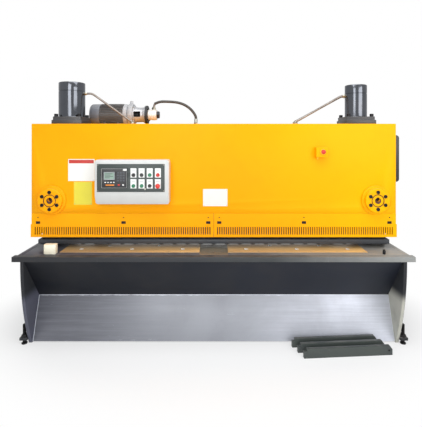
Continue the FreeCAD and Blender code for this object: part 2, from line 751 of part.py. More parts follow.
def blade_beam():
    """The beam that carries the upper knife: a plate, a top flange and ribs behind."""
    half = BEAM_HALF_LENGTH
    outline = [
        (-half, rake_height(-half) + BEAM_EDGE_ABOVE_KNIFE),
        (half, rake_height(half) + BEAM_EDGE_ABOVE_KNIFE),
        (half, BEAM_TOP),
        (-half, BEAM_TOP),
    ]
    beam = plate_y(outline, BEAM_FRONT_DEPTH, BEAM_PLATE_BACK)
    flange_bottom = BEAM_TOP - BEAM_FLANGE_THICKNESS
    flange = box(-half, half, BEAM_PLATE_BACK, BEAM_FLANGE_BACK_DEPTH, flange_bottom, BEAM_TOP)
    beam = beam.fuse(flange)
    rib = [
        (BEAM_PLATE_BACK, BEAM_RIB_FOOT),
        (BEAM_RIB_WAIST_DEPTH, BEAM_RIB_WAIST_HEIGHT),
        (BEAM_FLANGE_BACK_DEPTH, flange_bottom),
        (BEAM_PLATE_BACK, flange_bottom),
    ]
    for index in range(BEAM_RIBS):
        x = (index - (BEAM_RIBS - 1) / 2) * BEAM_RIB_SPACING
        beam = beam.fuse(plate_x(rib, x - BEAM_RIB_THICKNESS / 2, x + BEAM_RIB_THICKNESS / 2))
    return beam.removeSplitter()


def piston_rods():
    """The two rods that push the blade beam down."""
    rods = [
        rod_z(ROD_RADIUS, BEAM_TOP, ROD_TOP, side * CYLINDER_X, CYLINDER_DEPTH) for side in (-1, 1)
    ]
    return Part.makeCompound(rods)


def gauge_rails():
    """The two rails of the back gauge, with a plate at the end of each."""
    rails = []
    top = GAUGE_RAIL_BOTTOM + GAUGE_RAIL_HEIGHT
    plate_front = GAUGE_RAIL_END_DEPTH - GAUGE_END_PLATE
    drop = GAUGE_RAIL_BOTTOM - 2 * GAUGE_SCREW_DROP
    for side in (-1, 1):
        left = side * GAUGE_RAIL_X - GAUGE_RAIL_WIDTH / 2
        right = side * GAUGE_RAIL_X + GAUGE_RAIL_WIDTH / 2
        rail = box(left, right, BEAM_PLATE_BACK, plate_front, GAUGE_RAIL_BOTTOM, top)
        end = box(left, right, plate_front, GAUGE_RAIL_END_DEPTH, drop, top)
        rails.append(rail.fuse(end).removeSplitter())
    return Part.makeCompound(rails)


def gauge_screws():
    """The two lead screws under the rails, from the beam's plate to the end plates."""
    height = GAUGE_RAIL_BOTTOM - GAUGE_SCREW_DROP
    back = GAUGE_RAIL_END_DEPTH - GAUGE_END_PLATE
    screws = [
        rod_y(GAUGE_SCREW_RADIUS, BEAM_PLATE_BACK, back, side * GAUGE_RAIL_X, height)
        for side in (-1, 1)
    ]
    return Part.makeCompound(screws)


def gauge_fence():
    """The fence of the back gauge: an angle on two carriages that hang from the rails."""
    half = GAUGE_FENCE_HALF_LENGTH
    front = GAUGE_FENCE_DEPTH
    back = front + GAUGE_FENCE_THICKNESS
    under_screw = GAUGE_RAIL_BOTTOM - 2 * GAUGE_SCREW_DROP
    ledge_bottom = under_screw - GAUGE_FENCE_THICKNESS
    fence = box(-half, half, front, back, GAUGE_FENCE_BOTTOM, under_screw)
    ledge = box(-half, half, back, front + GAUGE_LEDGE_DEPTH, ledge_bottom, under_screw)
    fence = fence.fuse(ledge)
    for side in (-1, 1):
        centre = side * GAUGE_RAIL_X
        reach = GAUGE_RAIL_WIDTH / 2
        outer = reach + GAUGE_CARRIAGE_WALL
        rail_top = GAUGE_RAIL_BOTTOM + GAUGE_RAIL_HEIGHT
        roof = rail_top + GAUGE_CARRIAGE_WALL
        end = front + GAUGE_CARRIAGE_DEPTH
        carriage = box(centre - outer, centre + outer, front, end, ledge_bottom, roof)
        tunnel = box(centre - reach, centre + reach, front, end, GAUGE_RAIL_BOTTOM, rail_top)
        height = GAUGE_RAIL_BOTTOM - GAUGE_SCREW_DROP
        bore = rod_y(GAUGE_SCREW_RADIUS, front, end, centre, height)
        fence = fence.fuse(carriage).cut(tunnel).cut(bore)
    return fence.removeSplitter()


def guide_housing(side):
    """A roller guide housing: a stepped round cover and a sleeve through the panel."""
    face = PANEL_DEPTH - HUB_PROUD
    base_front = PANEL_DEPTH - HUB_BASE_THICKNESS
    groove_back = face + HUB_GROOVE_DEPTH
    sleeve = HUB_SLEEVE_RADIUS - HUB_SLEEVE_CLEARANCE
    sleeve_end = BEAM_FRONT_DEPTH - HUB_GUIDE_GAP
    outline = [
        (0, face),
        (HUB_BOSS_RADIUS, face),
        (HUB_BOSS_RADIUS, groove_back),
        (HUB_BOSS_RADIUS + HUB_GROOVE_WIDTH, groove_back),
        (HUB_BOSS_RADIUS + HUB_GROOVE_WIDTH, face),
        (HUB_RADIUS, face),
        (HUB_RADIUS, base_front),
        (HUB_BASE_RADIUS, base_front),
        (HUB_BASE_RADIUS, PANEL_DEPTH),
        (sleeve, PANEL_DEPTH),
        (sleeve, sleeve_end),
        (0, sleeve_end),
    ]
    housing = along_y(outline, side * HUB_X, HUB_HEIGHT)
    socket_x = side * HUB_X + HUB_SOCKET_OFFSET
    socket_z = HUB_HEIGHT + HUB_SOCKET_OFFSET
    socket = rod_y(HUB_SOCKET_RADIUS, face, face + HUB_SOCKET_DEPTH, socket_x, socket_z)
    return housing.cut(socket)


def deck():
    """The deck plate over the frames, with clearance for the rods."""
    outer = FRAME_OUTER_X
    plate = box(-outer, outer, PANEL_BACK_DEPTH, FRAME_TOP_BACK_DEPTH, DECK_BOTTOM, DECK_TOP)
    radius = ROD_RADIUS + DECK_ROD_CLEARANCE
    for side in (-1, 1):
        plate = plate.cut(rod_z(radius, DECK_BOTTOM, DECK_TOP, side * CYLINDER_X, CYLINDER_DEPTH))
    return plate


def square_plate(side, width, bottom, height):
    """A square plate round one rod, bored to let the rod slide."""
    x = side * CYLINDER_X
    half = width / 2
    near = CYLINDER_DEPTH - half
    far = CYLINDER_DEPTH + half
    plate = box(x - half, x + half, near, far, bottom, bottom + height)
    bore = rod_z(ROD_RADIUS + ROD_CLEARANCE, bottom, bottom + height, x, CYLINDER_DEPTH)
    return plate.cut(bore)


def cylinder_bases():
    """The square base plates of both main cylinders, each with the cylinder's flange on it."""
    plates = []
    for side in (-1, 1):
        base = square_plate(side, BASE_PLATE_WIDTH, DECK_TOP, BASE_PLATE_HEIGHT)
        flange = square_plate(side, FLANGE_WIDTH, DECK_TOP + BASE_PLATE_HEIGHT, FLANGE_HEIGHT)
        plates.append(base.fuse(flange).removeSplitter())
    return Part.makeCompound(plates)


def main_cylinder(side, radius, top):
    """A main cylinder: barrel, seam, screwed cap and the bore for its rod."""
    seam = top - BARREL_CAP_HEIGHT
    bore = ROD_RADIUS + ROD_CLEARANCE
    bore_top = ROD_TOP + ROD_BORE_END_GAP
    outline = [
        (bore, FLANGE_TOP),
        (radius, FLANGE_TOP),
        (radius, seam - BARREL_SEAM),
        (radius - BARREL_SEAM, seam - BARREL_SEAM),
        (radius - BARREL_SEAM, seam),
        (radius, seam),
        (radius, top - BARREL_EDGE),
        (radius - BARREL_EDGE, top),
        (0, top),
        (0, bore_top),
        (bore, bore_top),
    ]
    return along_z(outline, side * CYLINDER_X, CYLINDER_DEPTH)


def motor_fan_cover():
    """The domed cover over the motor's fan."""
    left = MOTOR_COVER_LEFT_X
    right = MOTOR_BODY_LEFT_X
    outline = [
        (0, left),
        (MOTOR_COVER_RADIUS * 0.72, left),
        (MOTOR_COVER_RADIUS - 5, left + MOTOR_COVER_DOME * 0.5),
        (MOTOR_COVER_RADIUS, left + MOTOR_COVER_DOME),
        (MOTOR_COVER_RADIUS, right),
        (0, right),
    ]
    return along_x(outline, MOTOR_DEPTH, MOTOR_AXIS)


def motor_body():
    """The finned motor body on its feet, with the end shield and the mounting flange."""
    left = MOTOR_BODY_LEFT_X
    right = MOTOR_BODY_RIGHT_X
    points = []
    half_fin = math.asin(MOTOR_FIN_THICKNESS / 2 / MOTOR_FIN_RADIUS)
    for index in range(MOTOR_FINS):
        middle = 2 * math.pi * index / MOTOR_FINS
        for angle, radius in (
            (middle - half_fin, MOTOR_CORE_RADIUS),
            (middle - half_fin, MOTOR_FIN_RADIUS),
            (middle + half_fin, MOTOR_FIN_RADIUS),
            (middle + half_fin, MOTOR_CORE_RADIUS),
        ):
            depth = MOTOR_DEPTH + radius * math.cos(angle)
            points.append((depth, MOTOR_AXIS + radius * math.sin(angle)))
    body = plate_x(points, left, right)
    shield_step = right + (MOTOR_SHIELD_RIGHT_X - right) / 2
    shield = [
        (0, right),
        (MOTOR_SHIELD_RADIUS, right),
        (MOTOR_SHIELD_RADIUS, shield_step),
        (BELL_RADIUS, MOTOR_SHIELD_RIGHT_X),
        (MOTOR_FLANGE_RADIUS, MOTOR_SHIELD_RIGHT_X),
        (MOTOR_FLANGE_RADIUS, MOTOR_SHIELD_RIGHT_X + BELL_FLANGE),
        (BELL_RADIUS, MOTOR_SHIELD_RIGHT_X + BELL_FLANGE),
        (BELL_RADIUS, MOTOR_FLANGE_RIGHT_X),
        (0, MOTOR_FLANGE_RIGHT_X),
    ]
    body = body.fuse(along_x(shield, MOTOR_DEPTH, MOTOR_AXIS))
    half_spread = MOTOR_FOOT_SPREAD / 2
    foot_top = DECK_TOP + MOTOR_FOOT_THICKNESS
    for x in (left + MOTOR_FOOT_WIDTH / 2, right - MOTOR_FOOT_WIDTH / 2):
        near = MOTOR_DEPTH - half_spread
        far = MOTOR_DEPTH + half_spread
        reach = MOTOR_FOOT_WIDTH / 2
        foot = box(x - reach, x + reach, near, far, DECK_TOP, foot_top)
        saddle_reach = MOTOR_CORE_RADIUS * 0.7
        saddle = box(
            x - reach,
            x + reach,
            MOTOR_DEPTH - saddle_reach,
            MOTOR_DEPTH + saddle_reach,
            foot_top,
            MOTOR_AXIS - saddle_reach,
        )
        body = body.fuse(foot).fuse(saddle)
    return body.removeSplitter()


def bell_housing():
    """The light bell between motor and pump: a flanged tube with windows."""
    left = MOTOR_FLANGE_RIGHT_X
    right = BELL_RIGHT_X
    inner = BELL_RADIUS - BELL_WALL
    outline = [
        (inner, left),
        (MOTOR_SHIELD_RADIUS, left),
        (MOTOR_SHIELD_RADIUS, left + BELL_FLANGE),
        (BELL_RADIUS, left + BELL_FLANGE),
        (BELL_RADIUS, right - BELL_FLANGE),
        (PUMP_PLATE_RADIUS, right - BELL_FLANGE),
        (PUMP_PLATE_RADIUS, right),
        (inner, right),
    ]
    bell = along_x(outline, MOTOR_DEPTH, MOTOR_AXIS)
    middle = (left + right) / 2
    half = BELL_WINDOW_LENGTH / 2
    reach = BELL_WINDOW_WIDTH / 2
    window = box(
        middle - half,
        middle + half,
        MOTOR_DEPTH - PUMP_PLATE_RADIUS,
        MOTOR_DEPTH + PUMP_PLATE_RADIUS,
        MOTOR_AXIS - reach,
        MOTOR_AXIS + reach,
    )
    return bell.cut(window)


def pump():
    """The pump: its plate, round body, a port on top and a suction leg to the deck."""
    outline = [
        (0, BELL_RIGHT_X),
        (PUMP_PLATE_RADIUS, BELL_RIGHT_X),
        (PUMP_PLATE_RADIUS, PUMP_PLATE_RIGHT_X),
        (PUMP_RADIUS, PUMP_PLATE_RIGHT_X),
        (PUMP_RADIUS, PUMP_RIGHT_X),
        (0, PUMP_RIGHT_X),
    ]
    body = along_x(outline, MOTOR_DEPTH, MOTOR_AXIS)
    port = rod_z(PUMP_PORT_RADIUS, MOTOR_AXIS, PUMP_PORT_HEIGHT, PUMP_PORT_X, MOTOR_DEPTH)
    suction = rod_z(PUMP_PORT_RADIUS, DECK_TOP, MOTOR_AXIS, PUMP_PORT_X, MOTOR_DEPTH)
    return body.fuse(port).fuse(suction).removeSplitter()


def pipe_depths(side):
    """The depths of the oil pipes on one side; the right side has two."""
    if side < 0:
        return [CYLINDER_DEPTH]
    return [CYLINDER_DEPTH, CYLINDER_DEPTH + SECOND_PIPE_OFFSET]


def barrel_size(side):
    """The radius and the top of the barrel on one side."""
    if side < 0:
        return LEFT_BARREL_RADIUS, LEFT_BARREL_TOP
    return RIGHT_BARREL_RADIUS, RIGHT_BARREL_TOP


def barrel_face_x(side, depth):
    """The X place where a line at a depth leaves the barrel, on its inner side."""
    radius, _ = barrel_size(side)
    off = depth - CYLINDER_DEPTH
    return side * (CYLINDER_X - math.sqrt(radius * radius - off * off))


def oil_pipes(side):
    """The bent steel pipes from a main cylinder down to the deck."""
    _, top = barrel_size(side)
    height = top - PIPE_PORT_BELOW_TOP
    foot = DECK_TOP + FITTING_HEIGHT
    pipes = []
    for depth in pipe_depths(side):
        start = barrel_face_x(side, depth) - side * PIPE_PORT_REACH
        points = [
            Vector(start, depth, height),
            Vector(start - side * PIPE_KNEE_REACH, depth, height),
            Vector(side * PIPE_DECK_X, depth, foot + PIPE_DECK_RISE),
            Vector(side * PIPE_DECK_X, depth, foot),
        ]
        pipes.append(bent_tube(points, PIPE_RADIUS, PIPE_BEND))
    return Part.makeCompound(pipes)


def hose_points():
    """The route of the pressure line from the pump's port over to the deck."""
    route = [
        (PUMP_PORT_X, PUMP_PORT_HEIGHT),
        (PUMP_PORT_X, PUMP_PORT_HEIGHT + HOSE_RISE),
        (PUMP_PORT_X + HOSE_NEAR_REACH, PUMP_PORT_HEIGHT + HOSE_TOP_RISE),
        (PUMP_PORT_X + HOSE_FAR_REACH, PUMP_PORT_HEIGHT + HOSE_FAR_RISE),
        (HOSE_END_X - HOSE_DROP_REACH, PUMP_PORT_HEIGHT + HOSE_RISE / 3),
        (HOSE_END_X, PUMP_PORT_HEIGHT - HOSE_DROP_REACH),
        (HOSE_END_X, DECK_TOP + FITTING_HEIGHT),
    ]
    return [Vector(x, MOTOR_DEPTH, z) for x, z in route]


def pressure_line():
    """The formed pressure line, held at both ends."""
    return bent_tube(hose_points(), HOSE_RADIUS, HOSE_BEND)


def line_fittings():
    """The unions at the barrels and on the deck where the lines end."""
    fittings = []
    for side in (-1, 1):
        _, top = barrel_size(side)
        height = top - PIPE_PORT_BELOW_TOP
        for depth in pipe_depths(side):
            face = barrel_face_x(side, depth)
            end = face - side * PIPE_PORT_REACH
            overlap = face + side * FITTING_RADIUS
            x0, x1 = sorted((overlap, end))
            union_start = Vector(x0, depth, height)
            union = many_sided(ROUND_SIDES, FITTING_RADIUS, union_start, Vector(x1 - x0, 0, 0))
            radius, _ = barrel_size(side)
            barrel = rod_z(radius, DECK_TOP, top, side * CYLINDER_X, CYLINDER_DEPTH)
            fittings.append(union.cut(barrel))
            top_of_union = DECK_TOP + FITTING_HEIGHT
            x = side * PIPE_DECK_X
            fittings.append(post(6, FITTING_RADIUS, DECK_TOP, top_of_union, x, depth))
    hose_union_top = DECK_TOP + FITTING_HEIGHT
    fittings.append(post(6, PUMP_PORT_RADIUS, DECK_TOP, hose_union_top, HOSE_END_X, MOTOR_DEPTH))
    return Part.makeCompound(fittings)


def oil_tank():
    """The oil tank that hangs under the deck between the frames."""
    inner = FRAME_INNER_X
    return box(-inner, inner, TANK_FRONT_DEPTH, TANK_BACK_DEPTH, TANK_BOTTOM, DECK_BOTTOM)


def rear_tie():
    """The round tie between the frames, low at the back."""
    return rod_x(TIE_RADIUS, -FRAME_INNER_X, FRAME_INNER_X, TIE_DEPTH, TIE_HEIGHT)


def rear_chute():
    """The sloping plate that cut pieces slide down behind the knife."""
    outline = [
        (CHUTE_TOP_DEPTH, CHUTE_TOP),
        (CHUTE_END_DEPTH, CHUTE_END),
        (CHUTE_END_DEPTH, CHUTE_END - CHUTE_THICKNESS),
        (CHUTE_TOP_DEPTH, CHUTE_TOP - CHUTE_THICKNESS),
    ]
    return plate_x(outline, -FRAME_INNER_X, FRAME_INNER_X)


def button_places():
    """The centres of the push buttons, row by row from the upper left."""
    rows = (BUTTON_UPPER_ROW, BUTTON_LOWER_ROW)
    columns = range(BUTTONS_PER_ROW)
    return [(BUTTON_FIRST_X + index * BUTTON_PITCH, z) for z in rows for index in columns]


def stem_bore(x, z, front):
    """The blind bore that a button's stem slides in."""
    radius = BUTTON_STEM_RADIUS + BUTTON_CLEARANCE
    depth = BUTTON_STEM_LENGTH + BUTTON_BORE_END
    return many_sided(SMALL_SIDES, radius, Vector(x, front, z), Vector(0, depth, 0))


def control_box():
    """The control box: its lower front slants back, and its corners are rounded."""
    outline = [
        (PANEL_DEPTH, BOX_BOTTOM),
        (PANEL_DEPTH, BOX_TOP),
        (BOX_FRONT_DEPTH, BOX_TOP),
        (BOX_FRONT_DEPTH, BOX_FOLD),
        (BOX_FRONT_DEPTH + BOX_SLANT, BOX_BOTTOM),
    ]
    body = plate_x(outline, BOX_LEFT_X, BOX_RIGHT_X)
    body = body.makeFillet(BOX_CORNER, edges_along_y(body))
    for x, z in button_places():
        body = body.cut(stem_bore(x, z, OPERATOR_FRONT_DEPTH))
    return body


def operator_panel():
    """The dark plate on the control box, bored for the buttons."""
    plate = box(
        OPERATOR_LEFT_X,
        OPERATOR_RIGHT_X,
        OPERATOR_FRONT_DEPTH,
        BOX_FRONT_DEPTH,
        OPERATOR_BOTTOM,
        OPERATOR_TOP,
    )
    for x, z in button_places():
        plate = plate.cut(stem_bore(x, z, OPERATOR_FRONT_DEPTH))
    return plate


def controller():
    """The controller's frame, with its screen set a little into it."""
    front = OPERATOR_FRONT_DEPTH - CONTROLLER_PROUD
    frame = box(
        CONTROLLER_LEFT_X,
        CONTROLLER_RIGHT_X,
        front,
        OPERATOR_FRONT_DEPTH,
        CONTROLLER_BOTTOM,
        CONTROLLER_TOP,
    )
    screen = box(
        CONTROLLER_SCREEN_X - CONTROLLER_SCREEN_WIDTH / 2,
        CONTROLLER_SCREEN_X + CONTROLLER_SCREEN_WIDTH / 2,
        front,
        front + CONTROLLER_SCREEN_SINK,
        CONTROLLER_SCREEN_Z - CONTROLLER_SCREEN_HEIGHT / 2,
        CONTROLLER_SCREEN_Z + CONTROLLER_SCREEN_HEIGHT / 2,
    )
    return frame.cut(screen)


def push_button(x, z):
    """A flat push button: its cap stands clear of the panel by its travel."""
    cap_back = OPERATOR_FRONT_DEPTH - BUTTON_LIFT
    cap_start = Vector(x, cap_back - BUTTON_CAP_HEIGHT, z)
    cap = many_sided(ROUND_SIDES, BUTTON_RADIUS, cap_start, Vector(0, BUTTON_CAP_HEIGHT, 0))
    stem = Vector(0, BUTTON_LIFT + BUTTON_STEM_LENGTH, 0)
    return cap.fuse(many_sided(SMALL_SIDES, BUTTON_STEM_RADIUS, Vector(x, cap_back, z), stem))


def mushroom(x, z, front):
    """A mushroom button: a wide domed head on a neck that runs into its box."""
    head_back = front - MUSHROOM_LIFT
    head_front = head_back - MUSHROOM_HEIGHT
    outline = [
        (0, head_front),
        (MUSHROOM_RADIUS * 0.6, head_front + MUSHROOM_HEIGHT * 0.15),
        (MUSHROOM_RADIUS, head_front + MUSHROOM_HEIGHT * 0.6),
        (MUSHROOM_RADIUS, head_back),
        (0, head_back),
    ]
    stem = Vector(0, MUSHROOM_LIFT + BUTTON_STEM_LENGTH, 0)
    neck = many_sided(SMALL_SIDES, BUTTON_STEM_RADIUS, Vector(x, head_back, z), stem)
    return along_y(outline, x, z).fuse(neck)


def stop_box():
    """The small box of the emergency stop."""
    body = box(
        STOP_BOX_LEFT_X,
        STOP_BOX_RIGHT_X,
        STOP_BOX_FRONT_DEPTH,
        PANEL_DEPTH,
        STOP_BOX_BOTTOM,
        STOP_BOX_TOP,
    )
    body = body.makeFillet(STOP_BOX_CORNER, edges_along_y(body))
    return body.cut(stem_bore(STOP_X, STOP_HEIGHT, STOP_BOX_FRONT_DEPTH))


def side_cabinet():
    """The black service box on the right frame, with round corners."""
    outer = FRAME_OUTER_X + CABINET_WIDTH
    back = CABINET_FRONT_DEPTH + CABINET_DEPTH
    body = box(FRAME_OUTER_X, outer, CABINET_FRONT_DEPTH, back, CABINET_BOTTOM, CABINET_TOP)
    outer_edges = [
        edge
        for edge in edges_along_y(body)
        if edge.CenterOfMass.x > outer - 1
    ]
    return body.makeFillet(CABINET_CORNER, outer_edges)


def lug_places():
    """The side and depth of every levelling foot."""
    return [(side, depth) for side in (-1, 1) for depth in (LUG_FRONT_DEPTH, LUG_BACK_DEPTH)]


def foot_lugs():
    """The lugs outside the frames, each bored for a levelling screw and an anchor bolt."""
    lugs = []
    top = LUG_BOTTOM + LUG_THICKNESS
    middle = LUG_REACH / 2
    for side, depth in lug_places():
        near = depth - LUG_LENGTH / 2
        far = depth + LUG_LENGTH / 2
        inner, outer = sorted((side * FRAME_OUTER_X, side * (FRAME_OUTER_X + LUG_REACH)))
        lug = box(inner, outer, near, far, LUG_BOTTOM, top)
        x = side * (FRAME_OUTER_X + middle)
        screw_bore = SCREW_RADIUS + SCREW_CLEARANCE
        screw_depth = depth + SCREW_FROM_MIDDLE
        anchor_depth = depth + ANCHOR_FROM_MIDDLE
        lug = lug.cut(post(ROUND_SIDES, screw_bore, LUG_BOTTOM, top, x, screw_depth))
        lug = lug.cut(rod_z(ANCHOR_RADIUS, LUG_BOTTOM, top, x, anchor_depth))
        lugs.append(lug)
    return Part.makeCompound(lugs)


def levelling_screws():
    """The levelling screws: a foot disc on the floor, a screw and a nut on the lug."""
    screws = []
    lug_top = LUG_BOTTOM + LUG_THICKNESS
    for side, lug_depth in lug_places():
        x = side * (FRAME_OUTER_X + LUG_REACH / 2)
        depth = lug_depth + SCREW_FROM_MIDDLE
        foot = post(ROUND_SIDES, SCREW_FOOT_RADIUS, 0, SCREW_FOOT_HEIGHT, x, depth)
        screw = post(ROUND_SIDES, SCREW_RADIUS, SCREW_FOOT_HEIGHT, SCREW_TOP, x, depth)
        nut_top = lug_top + SCREW_NUT_HEIGHT
        nut = post(6, SCREW_NUT_WIDTH / math.sqrt(3), lug_top, nut_top, x, depth)
        screws.append(foot.fuse(screw).fuse(nut).removeSplitter())
    return Part.makeCompound(screws)


def stop_block():
    """The cream block on the left of the table."""
    half = BLOCK_WIDTH / 2
    block = box(
        BLOCK_X - half,
        BLOCK_X + half,
        BLOCK_FRONT_DEPTH,
        BLOCK_FRONT_DEPTH + BLOCK_DEPTH,
        TABLE_TOP,
        TABLE_TOP + BLOCK_HEIGHT,
    )
    return block.makeFillet(BLOCK_CORNER, upright_edges(block))


def stop_stud():
    """The small upright stud on the right of the table."""
    return rod_z(STUD_RADIUS, TABLE_TOP, TABLE_TOP + STUD_HEIGHT, STUD_X, STUD_DEPTH)


def support_arm(index):
    """One sheet support arm: a notched root, a sloped tip and a cross hole in it."""
    outline = [
        (0, 0),
        (ARM_LENGTH, 0),
        (ARM_LENGTH, ARM_HEIGHT - ARM_TIP_DROP),
        (ARM_LENGTH - ARM_TIP_LENGTH, ARM_HEIGHT),
        (ARM_NOTCH_LENGTH, ARM_HEIGHT),
        (ARM_NOTCH_LENGTH, ARM_HEIGHT - ARM_NOTCH_HEIGHT),
        (0, ARM_HEIGHT - ARM_NOTCH_HEIGHT),
    ]
    arm = plate_y(outline, 0, ARM_WIDTH)
    hole_x = ARM_LENGTH - ARM_HOLE_INSET
    arm = arm.cut(rod_y(ARM_HOLE_RADIUS, 0, ARM_WIDTH, hole_x, ARM_HEIGHT / 2))
    place = Vector(ARM_LEFT_X - index * ARM_STAGGER, ARM_FRONT_DEPTH + index * ARM_PITCH, 0)
    arm.rotate(Vector(0, 0, 0), Vector(0, 0, 1), ARM_TURN)
    arm.translate(place)
    return arm


# Every node by name
nodes["left_side_frame"] = side_frame(-FRAME_OUTER_X, -FRAME_INNER_X)
nodes["right_side_frame"] = side_frame(FRAME_INNER_X, FRAME_OUTER_X)
nodes["table"] = table()
nodes["table_wings"] = table_wings()
nodes["front_bar"] = box(-BAR_HALF_WIDTH, BAR_HALF_WIDTH, 0, BAR_DEPTH, TABLE_SEAT, TABLE_TOP)
nodes["wear_plates"] = wear_plates()
nodes["ball_units"] = ball_units()
nodes["centre_plate"] = centre_plate()
nodes["lower_blade"] = box(
    -UPPER_BLADE_HALF_LENGTH,
    UPPER_BLADE_HALF_LENGTH,
    TABLE_BACK_DEPTH,
    BLADE_LINE_DEPTH,
    TABLE_TOP - LOWER_BLADE_HEIGHT,
    TABLE_TOP,
)
nodes["lower_beam"] = lower_beam()
nodes["apron"] = apron()
nodes["kick_panel"] = kick_panel()
nodes["front_panel"] = front_panel()
nodes["left_finger_guard"] = finger_guard(-1)
nodes["right_finger_guard"] = finger_guard(1)
nodes["hold_down_beam"] = hold_down_beam()
nodes["press_feet"] = press_feet()
nodes["blade_beam"] = blade_beam()
nodes["upper_blade"] = upper_blade()
nodes["piston_rods"] = piston_rods()
nodes["gauge_rails"] = gauge_rails()
nodes["gauge_screws"] = gauge_screws()
nodes["gauge_fence"] = gauge_fence()
nodes["left_guide_housing"] = guide_housing(-1)
nodes["right_guide_housing"] = guide_housing(1)
nodes["deck"] = deck()
nodes["cylinder_bases"] = cylinder_bases()
nodes["left_main_cylinder"] = main_cylinder(-1, LEFT_BARREL_RADIUS, LEFT_BARREL_TOP)
nodes["right_main_cylinder"] = main_cylinder(1, RIGHT_BARREL_RADIUS, RIGHT_BARREL_TOP)
nodes["motor_fan_cover"] = motor_fan_cover()
nodes["motor_body"] = motor_body()
nodes["bell_housing"] = bell_housing()
nodes["pump"] = pump()
nodes["left_oil_pipe"] = oil_pipes(-1)
nodes["right_oil_pipes"] = oil_pipes(1)
nodes["pressure_line"] = pressure_line()
nodes["line_fittings"] = line_fittings()
nodes["oil_tank"] = oil_tank()
nodes["rear_tie"] = rear_tie()
nodes["rear_chute"] = rear_chute()
nodes["control_box"] = control_box()
nodes["operator_panel"] = operator_panel()
nodes["controller"] = controller()
nodes["stop_box"] = stop_box()
nodes["emergency_stop"] = mushroom(STOP_X, STOP_HEIGHT, STOP_BOX_FRONT_DEPTH)
nodes["side_cabinet"] = side_cabinet()
nodes["foot_lugs"] = foot_lugs()
nodes["levelling_screws"] = levelling_screws()
nodes["stop_block"] = stop_block()
nodes["stop_stud"] = stop_stud()

places = button_places()
for number, (button_x, button_z) in enumerate(places[:-1], start=1):
    nodes["push_button_" + str(number)] = push_button(button_x, button_z)
nodes["mushroom_button"] = mushroom(places[-1][0], places[-1][1], OPERATOR_FRONT_DEPTH)

arms = [support_arm(index) for index in range(ARM_COUNT)]
nodes["support_arms"] = Part.makeCompound(arms)

# The origin goes to the middle of the footprint
whole = Part.makeCompound(list(nodes.values())).BoundBox
middle_depth = (whole.YMin + whole.YMax) / 2
for name, shape in nodes.items():
    shape.translate(Vector(0, -middle_depth, 0))
    shape.exportStep("parts/" + name + ".step")
print(len(nodes), "nodes; depth of the origin", round(middle_depth, 3))
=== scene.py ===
import json
import logging
import math
from dataclasses import dataclass
from enum import Enum
from typing import Callable, Iterable, Sequence

import bpy
from mathutils import Matrix, Vector

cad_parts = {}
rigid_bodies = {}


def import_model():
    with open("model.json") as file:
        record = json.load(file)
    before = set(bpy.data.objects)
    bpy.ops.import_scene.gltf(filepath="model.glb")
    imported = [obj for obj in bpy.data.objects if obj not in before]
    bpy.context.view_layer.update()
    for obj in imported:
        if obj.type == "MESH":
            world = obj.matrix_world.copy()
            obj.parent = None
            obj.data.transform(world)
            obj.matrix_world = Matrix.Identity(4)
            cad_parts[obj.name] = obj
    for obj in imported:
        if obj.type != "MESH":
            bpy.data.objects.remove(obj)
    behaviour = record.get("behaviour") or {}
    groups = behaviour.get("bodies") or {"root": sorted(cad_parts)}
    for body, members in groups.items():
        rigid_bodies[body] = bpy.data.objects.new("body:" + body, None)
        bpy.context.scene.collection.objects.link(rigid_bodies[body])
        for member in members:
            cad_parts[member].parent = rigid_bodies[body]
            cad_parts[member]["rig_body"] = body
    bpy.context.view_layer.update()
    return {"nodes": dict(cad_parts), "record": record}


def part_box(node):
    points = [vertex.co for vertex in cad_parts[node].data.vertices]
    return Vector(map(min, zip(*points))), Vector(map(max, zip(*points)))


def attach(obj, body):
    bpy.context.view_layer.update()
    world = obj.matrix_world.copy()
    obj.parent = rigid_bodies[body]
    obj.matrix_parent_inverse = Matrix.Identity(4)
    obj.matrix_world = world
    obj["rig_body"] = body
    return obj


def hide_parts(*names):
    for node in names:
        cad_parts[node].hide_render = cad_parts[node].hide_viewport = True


Triple = tuple[float, float, float]
Colour = Triple
Stops = tuple[tuple[float, Colour], ...]
Piece = bpy.types.Object
Socket = bpy.types.NodeSocket

LOG = logging.getLogger("shear")

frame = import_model()

MM = 0.001
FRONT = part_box("front_bar")[0].y
ORIGIN = Vector((0.0, 0.0, 0.0))


class Axis(Enum):
    """The direction that a turned piece or a bolt points along, and how a primitive turns to it."""

    X = ((1.0, 0.0, 0.0), (0.0, math.pi / 2, 0.0))
    Y = ((0.0, 1.0, 0.0), (-math.pi / 2, 0.0, 0.0))
    Z = ((0.0, 0.0, 1.0), (0.0, 0.0, 0.0))

    @property
    def vector(self) -> Vector:
        """The direction as a vector."""
        return Vector(self.value[0])

    @property
    def turn(self) -> Triple:
        """The rotation that lays an upright primitive along this axis."""
        return self.value[1]


def at(x: float, depth: float, height: float) -> Vector:
    """A place on the machine.

    Args:
        x: Millimetres to the operator's right of the middle.
        depth: Millimetres behind the front face of the table bar.
        height: Millimetres above the floor.

    Returns:
        The place in the frame, in metres.
    """
    return Vector((x * MM, FRONT + depth * MM, height * MM))


def take_up(piece: Piece) -> None:
    """Make one piece the only selected and the active object."""
    bpy.ops.object.select_all(action="DESELECT")
    piece.select_set(True)
    bpy.context.view_layer.objects.active = piece


def settle(piece: Piece) -> None:
    """Move a piece's place, turn and scale into its mesh."""
    take_up(piece)
    bpy.ops.object.transform_apply(location=True, rotation=True, scale=True)


